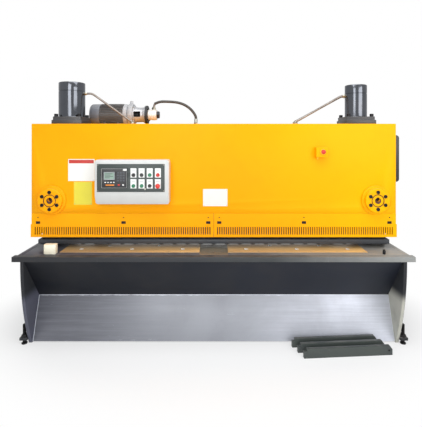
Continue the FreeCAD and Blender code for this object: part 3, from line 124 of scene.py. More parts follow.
def soften(piece: Piece, width: float, segments: int = 2, angle: float = 40.0) -> Piece:
    """Round the sharp edges of a piece and shade the rest smooth.

    Args:
        piece: The object to finish.
        width: The bevel's width in metres; zero leaves the edges sharp.
        segments: How many faces round each edge.
        angle: The smallest angle, in degrees, that counts as an edge.

    Returns:
        The same object.
    """
    take_up(piece)
    if width > 0:
        bevel = piece.modifiers.new("Edge", "BEVEL")
        bevel.width = width
        bevel.segments = segments
        bevel.limit_method = "ANGLE"
        bevel.angle_limit = math.radians(angle)
        bpy.ops.object.modifier_apply(modifier=bevel.name)
    bpy.ops.object.shade_smooth_by_angle(angle=math.radians(angle))
    return piece


def primitive(name: str, operator: Callable, **settings: object) -> Piece:
    """Add one primitive with everything else deselected.

    Args:
        name: The new object's name.
        operator: The operator that adds it.
        **settings: What the operator takes.

    Returns:
        The new object.
    """
    bpy.ops.object.select_all(action="DESELECT")
    operator(**settings)
    piece = bpy.context.active_object
    piece.name = name
    return piece


def block(name: str, low: Vector, high: Vector, bevel: float = 0.001, segments: int = 2) -> Piece:
    """A block between two corners, with rounded edges.

    Args:
        name: The new object's name.
        low: Its lowest corner.
        high: Its highest corner.
        bevel: The width of its rounded edges.
        segments: How many faces round each edge.

    Returns:
        The new object.
    """
    piece = primitive(name, bpy.ops.mesh.primitive_cube_add, size=1.0, location=(low + high) / 2)
    piece.scale = high - low
    settle(piece)
    return soften(piece, bevel, segments)


def turned(name: str, axis: Axis, centre: Vector, stations: Sequence[tuple[float, float]],
           sides: int = 32, bevel: float = 0.0, unit: float = MM) -> Piece:
    """A turned piece: a filled circle, extruded and resized from station to station.

    Args:
        name: The new object's name.
        axis: The axis that it is turned about.
        centre: A point on that axis; the stations' distances start there.
        stations: The outline as (radius, distance) pairs, from one end to the other.
        sides: How many faces go round it.
        bevel: The width of its rounded edges.
        unit: The stations' unit in metres.

    Returns:
        The new object.
    """
    direction = axis.vector
    (radius, distance), *rest = [(r * unit, d * unit) for r, d in stations]
    piece = primitive(
        name, bpy.ops.mesh.primitive_circle_add, vertices=sides, radius=radius, fill_type="NGON",
        location=centre + direction * distance, rotation=axis.turn)
    settle(piece)
    bpy.ops.object.mode_set(mode="EDIT")
    bpy.ops.mesh.select_all(action="SELECT")
    for next_radius, next_distance in rest:
        step = direction * (next_distance - distance)
        bpy.ops.mesh.extrude_region_move(TRANSFORM_OT_translate={"value": tuple(step)})
        if abs(next_radius - radius) > 1e-7:
            middle = centre + direction * next_distance
            bpy.ops.transform.resize(value=(next_radius / radius,) * 3, center_override=tuple(middle))
        radius, distance = next_radius, next_distance
    bpy.ops.mesh.select_all(action="SELECT")
    bpy.ops.mesh.normals_make_consistent(inside=False)
    bpy.ops.object.mode_set(mode="OBJECT")
    return soften(piece, bevel, 2, 35.0)


def hexagon(name: str, axis: Axis, centre: Vector, width: float, length: float) -> Piece:
    """A hexagon nut or bolt head with chamfered corners.

    Args:
        name: The new object's name.
        axis: The axis that it stands along.
        centre: The middle of its lower face.
        width: Its width across the corners, in metres.
        length: Its height, in metres; negative to stand the other way.

    Returns:
        The new object.
    """
    stations = [(width / 2, 0.0), (width / 2, length * 0.85), (width * 0.44, length)]
    return turned(name, axis, centre, stations, 6, unit=1.0)


def socket_bolt(axis: Axis, centre: Vector, radius: float, height: float) -> Piece:
    """A round bolt head with a sunk socket.

    Args:
        axis: The axis that it stands along.
        centre: The middle of the face that it seats on.
        radius: The head's radius, in metres.
        height: How far the head stands, in metres; negative to stand the other way.

    Returns:
        The new object.
    """
    stations = [(radius, 0.0), (radius, height * 0.8), (radius * 0.88, height),
                (radius * 0.55, height), (radius * 0.5, height * 0.45)]
    return turned("bolt", axis, centre, stations, 16, unit=1.0)


def ring(name: str, axis: Axis, centre: Vector, major: float, minor: float, sides: int) -> Piece:
    """A round ring.

    Args:
        name: The new object's name.
        axis: The axis through its middle.
        centre: Its middle.
        major: The radius of its centre line.
        minor: The radius of its section.
        sides: How many faces go round it.

    Returns:
        The new object.
    """
    piece = primitive(
        name, bpy.ops.mesh.primitive_torus_add, major_radius=major, minor_radius=minor,
        major_segments=sides, minor_segments=8, location=centre, rotation=axis.turn)
    settle(piece)
    return soften(piece, 0.0, 1, 60.0)


def joined(name: str, pieces: Sequence[Piece]) -> Piece:
    """Several pieces as one object.

    Args:
        name: The object's name.
        pieces: The objects to join.

    Returns:
        The joined object.
    """
    take_up(pieces[0])
    for piece in pieces[1:]:
        piece.select_set(True)
    if len(pieces) > 1:
        bpy.ops.object.join()
    pieces[0].name = name
    return pieces[0]


def repeated(name: str, model: Piece, moves: Iterable[Matrix | Vector]) -> Piece:
    """Copies of one modelled piece, joined; the model itself is used up.

    Args:
        name: The joined object's name.
        model: The piece to repeat.
        moves: Where each copy goes, as an offset or a matrix.

    Returns:
        The joined object.
    """
    copies = []
    for move in moves:
        copy = model.copy()
        copy.data = model.data.copy()
        copy.data.transform(move if isinstance(move, Matrix) else Matrix.Translation(move))
        bpy.context.scene.collection.objects.link(copy)
        copies.append(copy)
    bpy.data.objects.remove(model)
    return joined(name, copies)


def spun(name: str, model: Piece, axis: Axis, centre: Vector, count: int, first: float = 0.0) -> Piece:
    """Copies of one piece, evenly round an axis.

    Args:
        name: The joined object's name.
        model: The piece to repeat, which is used up.
        axis: The axis's direction.
        centre: A point on the axis.
        count: How many copies go round.
        first: The first copy's turn from the model, in steps.

    Returns:
        The joined object.
    """
    there = Matrix.Translation(centre)
    back = there.inverted()
    angles = [2 * math.pi * (n + first) / count for n in range(count)]
    return repeated(name, model, [there @ Matrix.Rotation(a, 4, axis.vector) @ back for a in angles])


def pipe(name: str, points: Sequence[Vector], radius: float, sides: int) -> Piece:
    """A round line along a smooth NURBS route, made a mesh.

    Args:
        name: The new object's name.
        points: The route's control points.
        radius: The line's radius.
        sides: The bevel resolution of its section.

    Returns:
        The new object.
    """
    curve = bpy.data.curves.new(name, "CURVE")
    curve.dimensions = "3D"
    spline = curve.splines.new("NURBS")
    spline.points.add(len(points) - 1)
    for slot, point in zip(spline.points, points):
        slot.co = (*point, 1.0)
    spline.order_u = 3
    spline.use_endpoint_u = True
    spline.resolution_u = 12
    curve.bevel_depth = radius
    curve.bevel_resolution = sides
    curve.use_fill_caps = True
    piece = bpy.data.objects.new(name, curve)
    bpy.context.scene.collection.objects.link(piece)
    take_up(piece)
    bpy.ops.object.convert(target="MESH")
    return soften(bpy.context.active_object, 0.0, 1, 50.0)


def carved(piece: Piece, cutter: Piece) -> Piece:
    """Cut one solid out of another, and remove the cutter.

    Args:
        piece: The object that is cut.
        cutter: The object that is cut away and deleted.

    Returns:
        The cut object.
    """
    take_up(piece)
    cut = piece.modifiers.new("Cut", "BOOLEAN")
    cut.object = cutter
    cut.operation = "DIFFERENCE"
    cut.solver = "EXACT"
    bpy.ops.object.modifier_apply(modifier=cut.name)
    bpy.data.objects.remove(cutter)
    return piece


def dressed_copy(node: str, bevel: float, segments: int) -> Piece:
    """A merged copy of a CAD node with rounded edges.

    Args:
        node: The CAD node's name.
        bevel: The width of the rounded edges.
        segments: How many faces round each edge.

    Returns:
        The copy.
    """
    source = frame["nodes"][node]
    copy = source.copy()
    copy.data = source.data.copy()
    copy.parent = None
    copy.matrix_world = Matrix.Identity(4)
    for key in list(copy.keys()):
        del copy[key]
    bpy.context.scene.collection.objects.link(copy)
    take_up(copy)
    copy.name = node + "_skin"
    if copy.data.has_custom_normals:
        bpy.ops.mesh.customdata_custom_splitnormals_clear()
    bpy.ops.object.mode_set(mode="EDIT")
    bpy.ops.mesh.select_all(action="SELECT")
    bpy.ops.mesh.remove_doubles(threshold=0.00002)
    bpy.ops.mesh.dissolve_limited(angle_limit=math.radians(1.0))
    bpy.ops.object.mode_set(mode="OBJECT")
    return soften(copy, bevel, segments)


def paint(piece: Piece, material: bpy.types.Material) -> None:
    """Give a piece one material."""
    piece.data.materials.clear()
    piece.data.materials.append(material)


class Bench:
    """A node tree, with short calls for the nodes that finishes use."""

    def __init__(self, tree: bpy.types.NodeTree) -> None:
        """Keep the tree and clear it."""
        self.tree = tree
        self.tree.nodes.clear()

    def node(self, kind: str, **settings: object) -> bpy.types.Node:
        """Add a node and set its properties.

        Args:
            kind: The node's type name.
            **settings: Properties to set on it.

        Returns:
            The new node.
        """
        made = self.tree.nodes.new(kind)
        for key, value in settings.items():
            setattr(made, key, value)
        return made

    def feed(self, value: object, target: Socket) -> None:
        """Link a socket to an input, or set the input to a number or a colour.

        Args:
            value: The socket, number or colour.
            target: The input.
        """
        if isinstance(value, Socket):
            self.tree.links.new(value, target)
        elif isinstance(value, tuple):
            target.default_value = (*value, 1.0)
        else:
            target.default_value = value

    def math(self, how: str, left: object, right: object, clamp: bool = False) -> Socket:
        """A Math node on two sockets or numbers.

        Args:
            how: The operation.
            left: A socket or a number.
            right: A socket or a number.
            clamp: Whether the result stays from 0 to 1.

        Returns:
            The result.
        """
        made = self.node("ShaderNodeMath", operation=how, use_clamp=clamp)
        self.feed(left, made.inputs[0])
        self.feed(right, made.inputs[1])
        return made.outputs[0]

    def coordinate(self, vector: Socket, axis: str) -> Socket:
        """One coordinate of a vector."""
        made = self.node("ShaderNodeSeparateXYZ")
        self.feed(vector, made.inputs[0])
        return made.outputs[axis]

    def noise(self, vector: Socket, scale: object, detail: float = 3.0, rough: float = 0.55,
              distortion: float = 0.0) -> Socket:
        """A noise value on a vector.

        Args:
            vector: The coordinates.
            scale: The noise's scale, as a socket or a number.
            detail: How many octaves it has.
            rough: How strong the fine octaves are.
            distortion: How far it is bent.

        Returns:
            The noise factor.
        """
        made = self.node("ShaderNodeTexNoise")
        values = {"Vector": vector, "Scale": scale, "Detail": detail, "Roughness": rough,
                  "Distortion": distortion}
        for key, value in values.items():
            self.feed(value, made.inputs[key])
        return made.outputs["Fac"]

    def stretched(self, vector: Socket, scale: Triple) -> Socket:
        """Coordinates scaled by axis, so that a pattern runs in one direction.

        Args:
            vector: The coordinates.
            scale: The factor for each axis.

        Returns:
            The stretched coordinates.
        """
        made = self.node("ShaderNodeMapping")
        made.inputs["Scale"].default_value = scale
        self.feed(vector, made.inputs["Vector"])
        return made.outputs["Vector"]

    def band(self, value: Socket, low: float, high: float, out_low: float = 0.0,
             out_high: float = 1.0) -> Socket:
        """A value mapped from one range to another, smooth and clamped.

        Args:
            value: The socket to map.
            low: Where the range starts.
            high: Where it ends.
            out_low: The result at the start.
            out_high: The result at the end.

        Returns:
            The mapped value.
        """
        made = self.node("ShaderNodeMapRange", interpolation_type="SMOOTHSTEP")
        values = {"Value": value, "From Min": low, "From Max": high, "To Min": out_low,
                  "To Max": out_high}
        for key, number in values.items():
            self.feed(number, made.inputs[key])
        return made.outputs["Result"]

    def blend(self, factor: object, first: object, second: object) -> Socket:
        """A mix of two colours.

        Args:
            factor: A socket or a number.
            first: A socket or a colour.
            second: A socket or a colour.

        Returns:
            The mixed colour.
        """
        made = self.node("ShaderNodeMix", data_type="RGBA")
        for index, value in ((0, factor), (6, first), (7, second)):
            self.feed(value, made.inputs[index])
        return made.outputs[2]

    def across(self, place: Socket, painted_light_stops: Stops) -> Socket:
        """A colour that changes across the machine's width, with a slightly uneven boundary; this is
        painted light, darker to the left and brighter to the right.

        Args:
            place: The Object coordinates.
            painted_light_stops: Each colour of the painted light with its distance to the right of the
                middle, in metres.

        Returns:
            The colour.
        """
        half = 1.8
        uneven = 0.45
        wander = self.math("MULTIPLY", self.math("SUBTRACT", self.noise(place, 1.3), 0.5), uneven)
        shifted = self.math("ADD", self.coordinate(place, "X"), wander)
        share = self.math("DIVIDE", self.math("ADD", shifted, half), 2 * half, True)
        ramp = self.node("ShaderNodeValToRGB")
        ramp.color_ramp.interpolation = "EASE"
        edges = ramp.color_ramp.elements
        while len(edges) < len(painted_light_stops):
            edges.new(0.5)
        for edge, (distance, colour) in zip(edges, painted_light_stops):
            edge.position = (distance + half) / (2 * half)
            edge.color = (*colour, 1.0)
        self.feed(share, ramp.inputs["Fac"])
        return ramp.outputs["Color"]

    def effect(self, group: bpy.types.NodeTree, place: Socket, **values: float) -> Socket:
        """Place a shared effect.

        Args:
            group: The effect's group.
            place: The coordinates that it reads.
            **values: Its other inputs.

        Returns:
            The effect's output.
        """
        made = self.node("ShaderNodeGroup")
        made.node_tree = group
        self.feed(place, made.inputs["Vector"])
        for key, value in values.items():
            self.feed(value, made.inputs[key.capitalize()])
        return made.outputs[0]

    def show(self, kind: str, share: Socket, first: Socket, second: Socket) -> None:
        """Mix two shaders into the tree's output.

        Args:
            kind: The output node's type name.
            share: How much of the second shader shows.
            first: The first shader.
            second: The second shader.
        """
        mix = self.node("ShaderNodeMixShader")
        for index, value in enumerate((share, first, second)):
            self.feed(value, mix.inputs[index])
        self.feed(mix.outputs[0], self.node(kind).inputs["Surface"])


class Effects:
    """The effects that several finishes share, each a node group built once."""

    def __init__(self) -> None:
        """Build every group."""
        self.peel = self._peel()
        self.scuffs = self._scuffs()
        self.dust = self._dust()
        self.grime = self._grime()
        self.grain = self._grain()

    @staticmethod
    def _group(name: str, output: str, **values: float) -> tuple[
            bpy.types.NodeTree, Bench, bpy.types.NodeInputs, Socket]:
        """A shader node group with coordinates, named inputs and one value output.

        Args:
            name: The group's name.
            output: The output's name.
            **values: Each other input's default.

        Returns:
            The group, a bench on it, its inputs by name and its output.
        """
        group = bpy.data.node_groups.new(name, "ShaderNodeTree")
        group.interface.new_socket(name="Vector", in_out="INPUT", socket_type="NodeSocketVector")
        for key, value in values.items():
            socket = group.interface.new_socket(
                name=key.capitalize(), in_out="INPUT", socket_type="NodeSocketFloat")
            socket.default_value = value
        group.interface.new_socket(name=output, in_out="OUTPUT", socket_type="NodeSocketFloat")
        bench = Bench(group)
        start = bench.node("NodeGroupInput").outputs
        return group, bench, start, bench.node("NodeGroupOutput").inputs[output]

    def _peel(self) -> bpy.types.NodeTree:
        """The shallow ripple of sprayed paint, as a height."""
        group, bench, start, end = self._group("Paint ripple", "Height", scale=160.0)
        fine = bench.noise(start["Vector"], start["Scale"], 2.0, 0.5)
        broad = bench.noise(start["Vector"], 3.5, 2.0, 0.5)
        bench.feed(bench.math("ADD", bench.math("MULTIPLY", fine, 0.25), broad), end)
        return group

    def _scuffs(self) -> bpy.types.NodeTree:
        """Thin scratches in two directions, as a mask."""
        group, bench, start, end = self._group("Scuffs", "Mask", scale=1.0, amount=0.5)
        scaled = bench.node("ShaderNodeVectorMath", operation="SCALE")
        bench.feed(start["Vector"], scaled.inputs[0])
        bench.feed(start["Scale"], scaled.inputs["Scale"])
        place = scaled.outputs[0]
        along = bench.stretched(place, (3.0, 60.0, 90.0))
        upright = bench.stretched(place, (70.0, 40.0, 4.0))
        first = bench.band(bench.noise(along, 1.0, 3.0, 0.7), 0.66, 0.74)
        second = bench.band(bench.noise(upright, 1.0, 3.0, 0.7), 0.70, 0.78)
        where = bench.band(bench.noise(place, 2.2, 4.0), 0.45, 0.65)
        patchy = bench.math("MULTIPLY", bench.math("MAXIMUM", first, second), where)
        bench.feed(bench.math("MULTIPLY", patchy, start["Amount"], True), end)
        return group

    def _dust(self) -> bpy.types.NodeTree:
        """Dust that settles on faces that look up, as a mask."""
        group, bench, start, end = self._group("Settled dust", "Mask", amount=0.3)
        normal = bench.node("ShaderNodeNewGeometry").outputs["Normal"]
        facing = bench.band(bench.coordinate(normal, "Z"), 0.35, 0.95)
        patches = bench.band(bench.noise(start["Vector"], 7.0, 5.0), 0.3, 0.75)
        mask = bench.math("MULTIPLY", facing, patches)
        bench.feed(bench.math("MULTIPLY", mask, start["Amount"], True), end)
        return group

    def _grime(self) -> bpy.types.NodeTree:
        """Broad uneven soiling, as a mask."""
        group, bench, start, end = self._group("Soiling", "Mask", scale=4.0, amount=0.3)
        cloud = bench.noise(start["Vector"], start["Scale"], 6.0, 0.62, 0.4)
        mask = bench.band(cloud, 0.42, 0.72)
        bench.feed(bench.math("MULTIPLY", mask, start["Amount"], True), end)
        return group

    def _grain(self) -> bpy.types.NodeTree:
        """Fine lines of rolled metal on coordinates stretched beforehand, as a height."""
        group, bench, start, end = self._group("Metal grain", "Height", scale=1.0)
        bench.feed(bench.noise(start["Vector"], start["Scale"], 4.0, 0.75), end)
        return group


@dataclass(frozen=True)
class Finish:
    """A surface finish that can be made a material."""

    name: str
    colour: Colour
    roughness: float = 0.4

    def make(self, effects: Effects) -> bpy.types.Material:
        """Build the material.

        Args:
            effects: The shared node groups.

        Returns:
            The new material.
        """
        material = bpy.data.materials.new(self.name)
        material.use_nodes = True
        bench = Bench(material.node_tree)
        place = bench.node("ShaderNodeTexCoord").outputs["Object"]
        shader = bench.node("ShaderNodeBsdfPrincipled")
        output = bench.node("ShaderNodeOutputMaterial")
        bench.feed(shader.outputs["BSDF"], output.inputs["Surface"])
        self.lay(bench, shader.inputs, place, effects)
        return material

    def lay(self, bench: Bench, shader: bpy.types.NodeInputs, place: Socket, effects: Effects) -> None:
        """Feed the shader, each kind of finish in its own way.

        Args:
            bench: The bench on the material's tree.
            shader: The shader's inputs.
            place: The Object coordinates.
            effects: The shared node groups.
        """
        raise NotImplementedError

    @staticmethod
    def bump(bench: Bench, shader: bpy.types.NodeInputs, height: Socket, strength: float,
             distance: float) -> None:
        """Feed a height to the shader's normal.

        Args:
            bench: The material's bench.
            shader: The shader's inputs.
            height: The height.
            strength: The bump's strength.
            distance: The bump's distance in metres.
        """
        made = bench.node("ShaderNodeBump")
        for key, value in (("Strength", strength), ("Distance", distance), ("Height", height)):
            bench.feed(value, made.inputs[key])
        bench.feed(made.outputs["Normal"], shader["Normal"])


@dataclass(frozen=True)
class Enamel(Finish):
    """Sprayed machine enamel with ripple, dust, soiling and scuffs.

    The colour can change across the width (painted_light_stops, painted light that darkens the left and
    brightens the right), above a height (height, blur, colour; painted shade) and outside a distance
    from the middle (distance, colour).
    """

    painted_light_stops: Stops = ()
    tone: float = 0.10
    above: tuple[float, float, Colour] | None = None
    outer: tuple[float, Colour] | None = None
    coat: float = 0.25
    specular: float = 0.5
    dust: float = 0.25
    soil: float = 0.25
    soil_colour: Colour = (0.05, 0.045, 0.04)
    scuff: float = 0.25
    scuff_colour: Colour = (0.5, 0.5, 0.5)
    dust_colour: Colour = (0.62, 0.58, 0.52)
    ripple: float = 0.05

    def lay(self, bench: Bench, shader: bpy.types.NodeInputs, place: Socket, effects: Effects) -> None:
        """Feed the enamel; see Finish.lay."""
        colour: object = self.colour
        # The stops lay painted light across the width, and the colour above a height is painted shade.
        if self.painted_light_stops:
            colour = bench.across(place, self.painted_light_stops)
        if self.above is not None:
            height, blur, upper = self.above
            share = bench.band(bench.coordinate(place, "Z"), height, height + blur)
            colour = bench.blend(share, colour, upper)
        if self.outer is not None:
            distance, outside = self.outer
            from_middle = bench.math("ABSOLUTE", bench.coordinate(place, "X"), 0.0)
            colour = bench.blend(bench.band(from_middle, distance, distance + 0.004), colour, outside)
        tone = bench.band(bench.noise(place, 2.7, 5.0), 0.3, 0.7, 0.0, self.tone)
        soil = bench.effect(effects.grime, place, scale=3.2, amount=self.soil)
        scuffs = bench.effect(effects.scuffs, place, scale=1.4, amount=self.scuff)
        dust = bench.effect(effects.dust, place, amount=self.dust)
        for mask, over in ((tone, self.soil_colour), (soil, self.soil_colour),
                           (scuffs, self.scuff_colour), (dust, self.dust_colour)):
            colour = bench.blend(mask, colour, over)
        bench.feed(colour, shader["Base Color"])
        rough = bench.math("ADD", bench.math("MULTIPLY", soil, 0.25), self.roughness)
        rough = bench.math("ADD", rough, bench.math("MULTIPLY", dust, 0.35), True)
        bench.feed(rough, shader["Roughness"])
        bench.feed(self.coat, shader["Coat Weight"])
        bench.feed(0.18, shader["Coat Roughness"])
        bench.feed(self.specular, shader["Specular IOR Level"])
        ripple = bench.effect(effects.peel, place, scale=170.0)
        height = bench.math("SUBTRACT", ripple, bench.math("MULTIPLY", scuffs, 0.3))
        self.bump(bench, shader, height, self.ripple * 4, 0.004)


@dataclass(frozen=True)
class Metal(Finish):
    """Bare metal with grain in one direction, stains, wear and, if asked for, a painted highlight along
    its edges.

    The highlighted edges are given by the sheet's half width and the height of its top.
    """

    stretch: Triple = (2.0, 60.0, 60.0)
    second: Colour = (0.3, 0.3, 0.3)
    stain: float = 0.35
    stain_colour: Colour = (0.20, 0.13, 0.08)
    stain_scale: float = 5.0
    grain: float = 0.12
    scuff: float = 0.4
    metallic: float = 1.0
    painted_highlight_edge: tuple[float, float] | None = None
    painted_light_stops: Stops = ()

    def lay(self, bench: Bench, shader: bpy.types.NodeInputs, place: Socket, effects: Effects) -> None:
        """Feed the metal; see Finish.lay."""
        lines = bench.effect(effects.grain, bench.stretched(place, self.stretch), scale=1.0)
        # The stops lay painted light and reflection across the width.
        if self.painted_light_stops:
            colour = bench.across(place, self.painted_light_stops)
        else:
            tone = bench.band(bench.noise(place, 3.0, 4.0), 0.35, 0.65)
            colour = bench.blend(tone, self.colour, self.second)
        shade = bench.band(lines, 0.3, 0.75, 0.0, 0.3)
        stain = bench.effect(effects.grime, place, scale=self.stain_scale, amount=self.stain)
        scuffs = bench.effect(effects.scuffs, place, scale=2.0, amount=self.scuff)
        darker = tuple(channel * 0.6 for channel in self.colour)
        brighter = tuple(min(1.0, channel * 1.4 + 0.05) for channel in self.colour)
        for mask, over in ((shade, darker), (stain, self.stain_colour), (scuffs, brighter)):
            colour = bench.blend(mask, colour, over)
        # A pale line along the ends and top is blended in as a painted highlight of the bent edges.
        if self.painted_highlight_edge is not None:
            colour = bench.blend(self.painted_edge_highlight(bench, place), colour, tint(228, 232, 240))
        bench.feed(colour, shader["Base Color"])
        rough = bench.band(lines, 0.3, 0.8, self.roughness - 0.07, self.roughness + 0.10)
        rough = bench.math("ADD", rough, bench.math("MULTIPLY", stain, 0.4), True)
        bench.feed(rough, shader["Roughness"])
        metal = bench.math("SUBTRACT", self.metallic, bench.math("MULTIPLY", stain, 0.6), True)
        bench.feed(metal, shader["Metallic"])
        height = bench.math("SUBTRACT", lines, bench.math("MULTIPLY", scuffs, 0.5))
        self.bump(bench, shader, height, self.grain, 0.001)

    def painted_edge_highlight(self, bench: Bench, place: Socket) -> Socket:
        """A mask of the painted highlight along the sheet's bent ends and top.

        Args:
            bench: The material's bench.
            place: The Object coordinates.

        Returns:
            The mask.
        """
        end, top = self.painted_highlight_edge
        bent = bench.math("MULTIPLY", bench.math("SUBTRACT", bench.noise(place, 14.0), 0.5), 0.016)
        across = bench.math("ABSOLUTE", bench.coordinate(place, "X"), 0.0)
        across = bench.math("ADD", across, bench.math("MULTIPLY", bent, 0.4))
        up = bench.math("ADD", bench.coordinate(place, "Z"), bent)
        ends = bench.band(across, end - 0.008, end - 0.005)
        return bench.math("MAXIMUM", ends, bench.band(up, top - 0.007, top - 0.004))


@dataclass(frozen=True)
class Cast(Finish):
    """Cast metal: lumpy, dull, with darker patches."""

    second: Colour = (0.3, 0.3, 0.3)
    metallic: float = 0.2
    lump: float = 0.35
    dust: float = 0.3
    dust_colour: Colour = (0.55, 0.52, 0.48)

    def lay(self, bench: Bench, shader: bpy.types.NodeInputs, place: Socket, effects: Effects) -> None:
        """Feed the casting's finish; see Finish.lay."""
        soil = bench.effect(effects.grime, place, scale=9.0, amount=0.6)
        dust = bench.effect(effects.dust, place, amount=self.dust)
        colour = bench.blend(dust, bench.blend(soil, self.colour, self.second), self.dust_colour)
        rough = bench.math("ADD", bench.math("MULTIPLY", soil, 0.2), self.roughness, True)
        bench.feed(colour, shader["Base Color"])
        bench.feed(self.metallic, shader["Metallic"])
        bench.feed(rough, shader["Roughness"])
        self.bump(bench, shader, bench.noise(place, 260.0, 4.0, 0.6), self.lump, 0.0015)


@dataclass(frozen=True)
class Moulded(Finish):
    """Plastic, rubber or printed film, with a fine texture and handling marks."""

    coat: float = 0.0
    texture: float = 0.12
    texture_scale: float = 900.0
    soil: float = 0.15
    glow: float = 0.0

    def lay(self, bench: Bench, shader: bpy.types.NodeInputs, place: Socket, effects: Effects) -> None:
        """Feed the moulded finish; see Finish.lay."""
        soil = bench.effect(effects.grime, place, scale=14.0, amount=self.soil)
        worn = tuple(channel * 0.55 + 0.04 for channel in self.colour)
        colour = bench.blend(soil, self.colour, worn)
        rough = bench.math("ADD", bench.math("MULTIPLY", soil, 0.5), self.roughness, True)
        bench.feed(colour, shader["Base Color"])
        bench.feed(rough, shader["Roughness"])
        bench.feed(self.coat, shader["Coat Weight"])
        if self.glow > 0:
            bench.feed(colour, shader["Emission Color"])
            bench.feed(self.glow, shader["Emission Strength"])
        self.bump(bench, shader, bench.noise(place, self.texture_scale), self.texture, 0.0006)


def tint(red: int, green: int, blue: int) -> Colour:
    """A display colour, each part from 0 to 255, as the linear colour that shaders take."""
    shares = (red / 255, green / 255, blue / 255)
    return tuple(c / 12.92 if c <= 0.04045 else ((c + 0.055) / 1.055) ** 2.4 for c in shares)


KICK_HALF_WIDTH = 1.690
KICK_TOP = 0.390

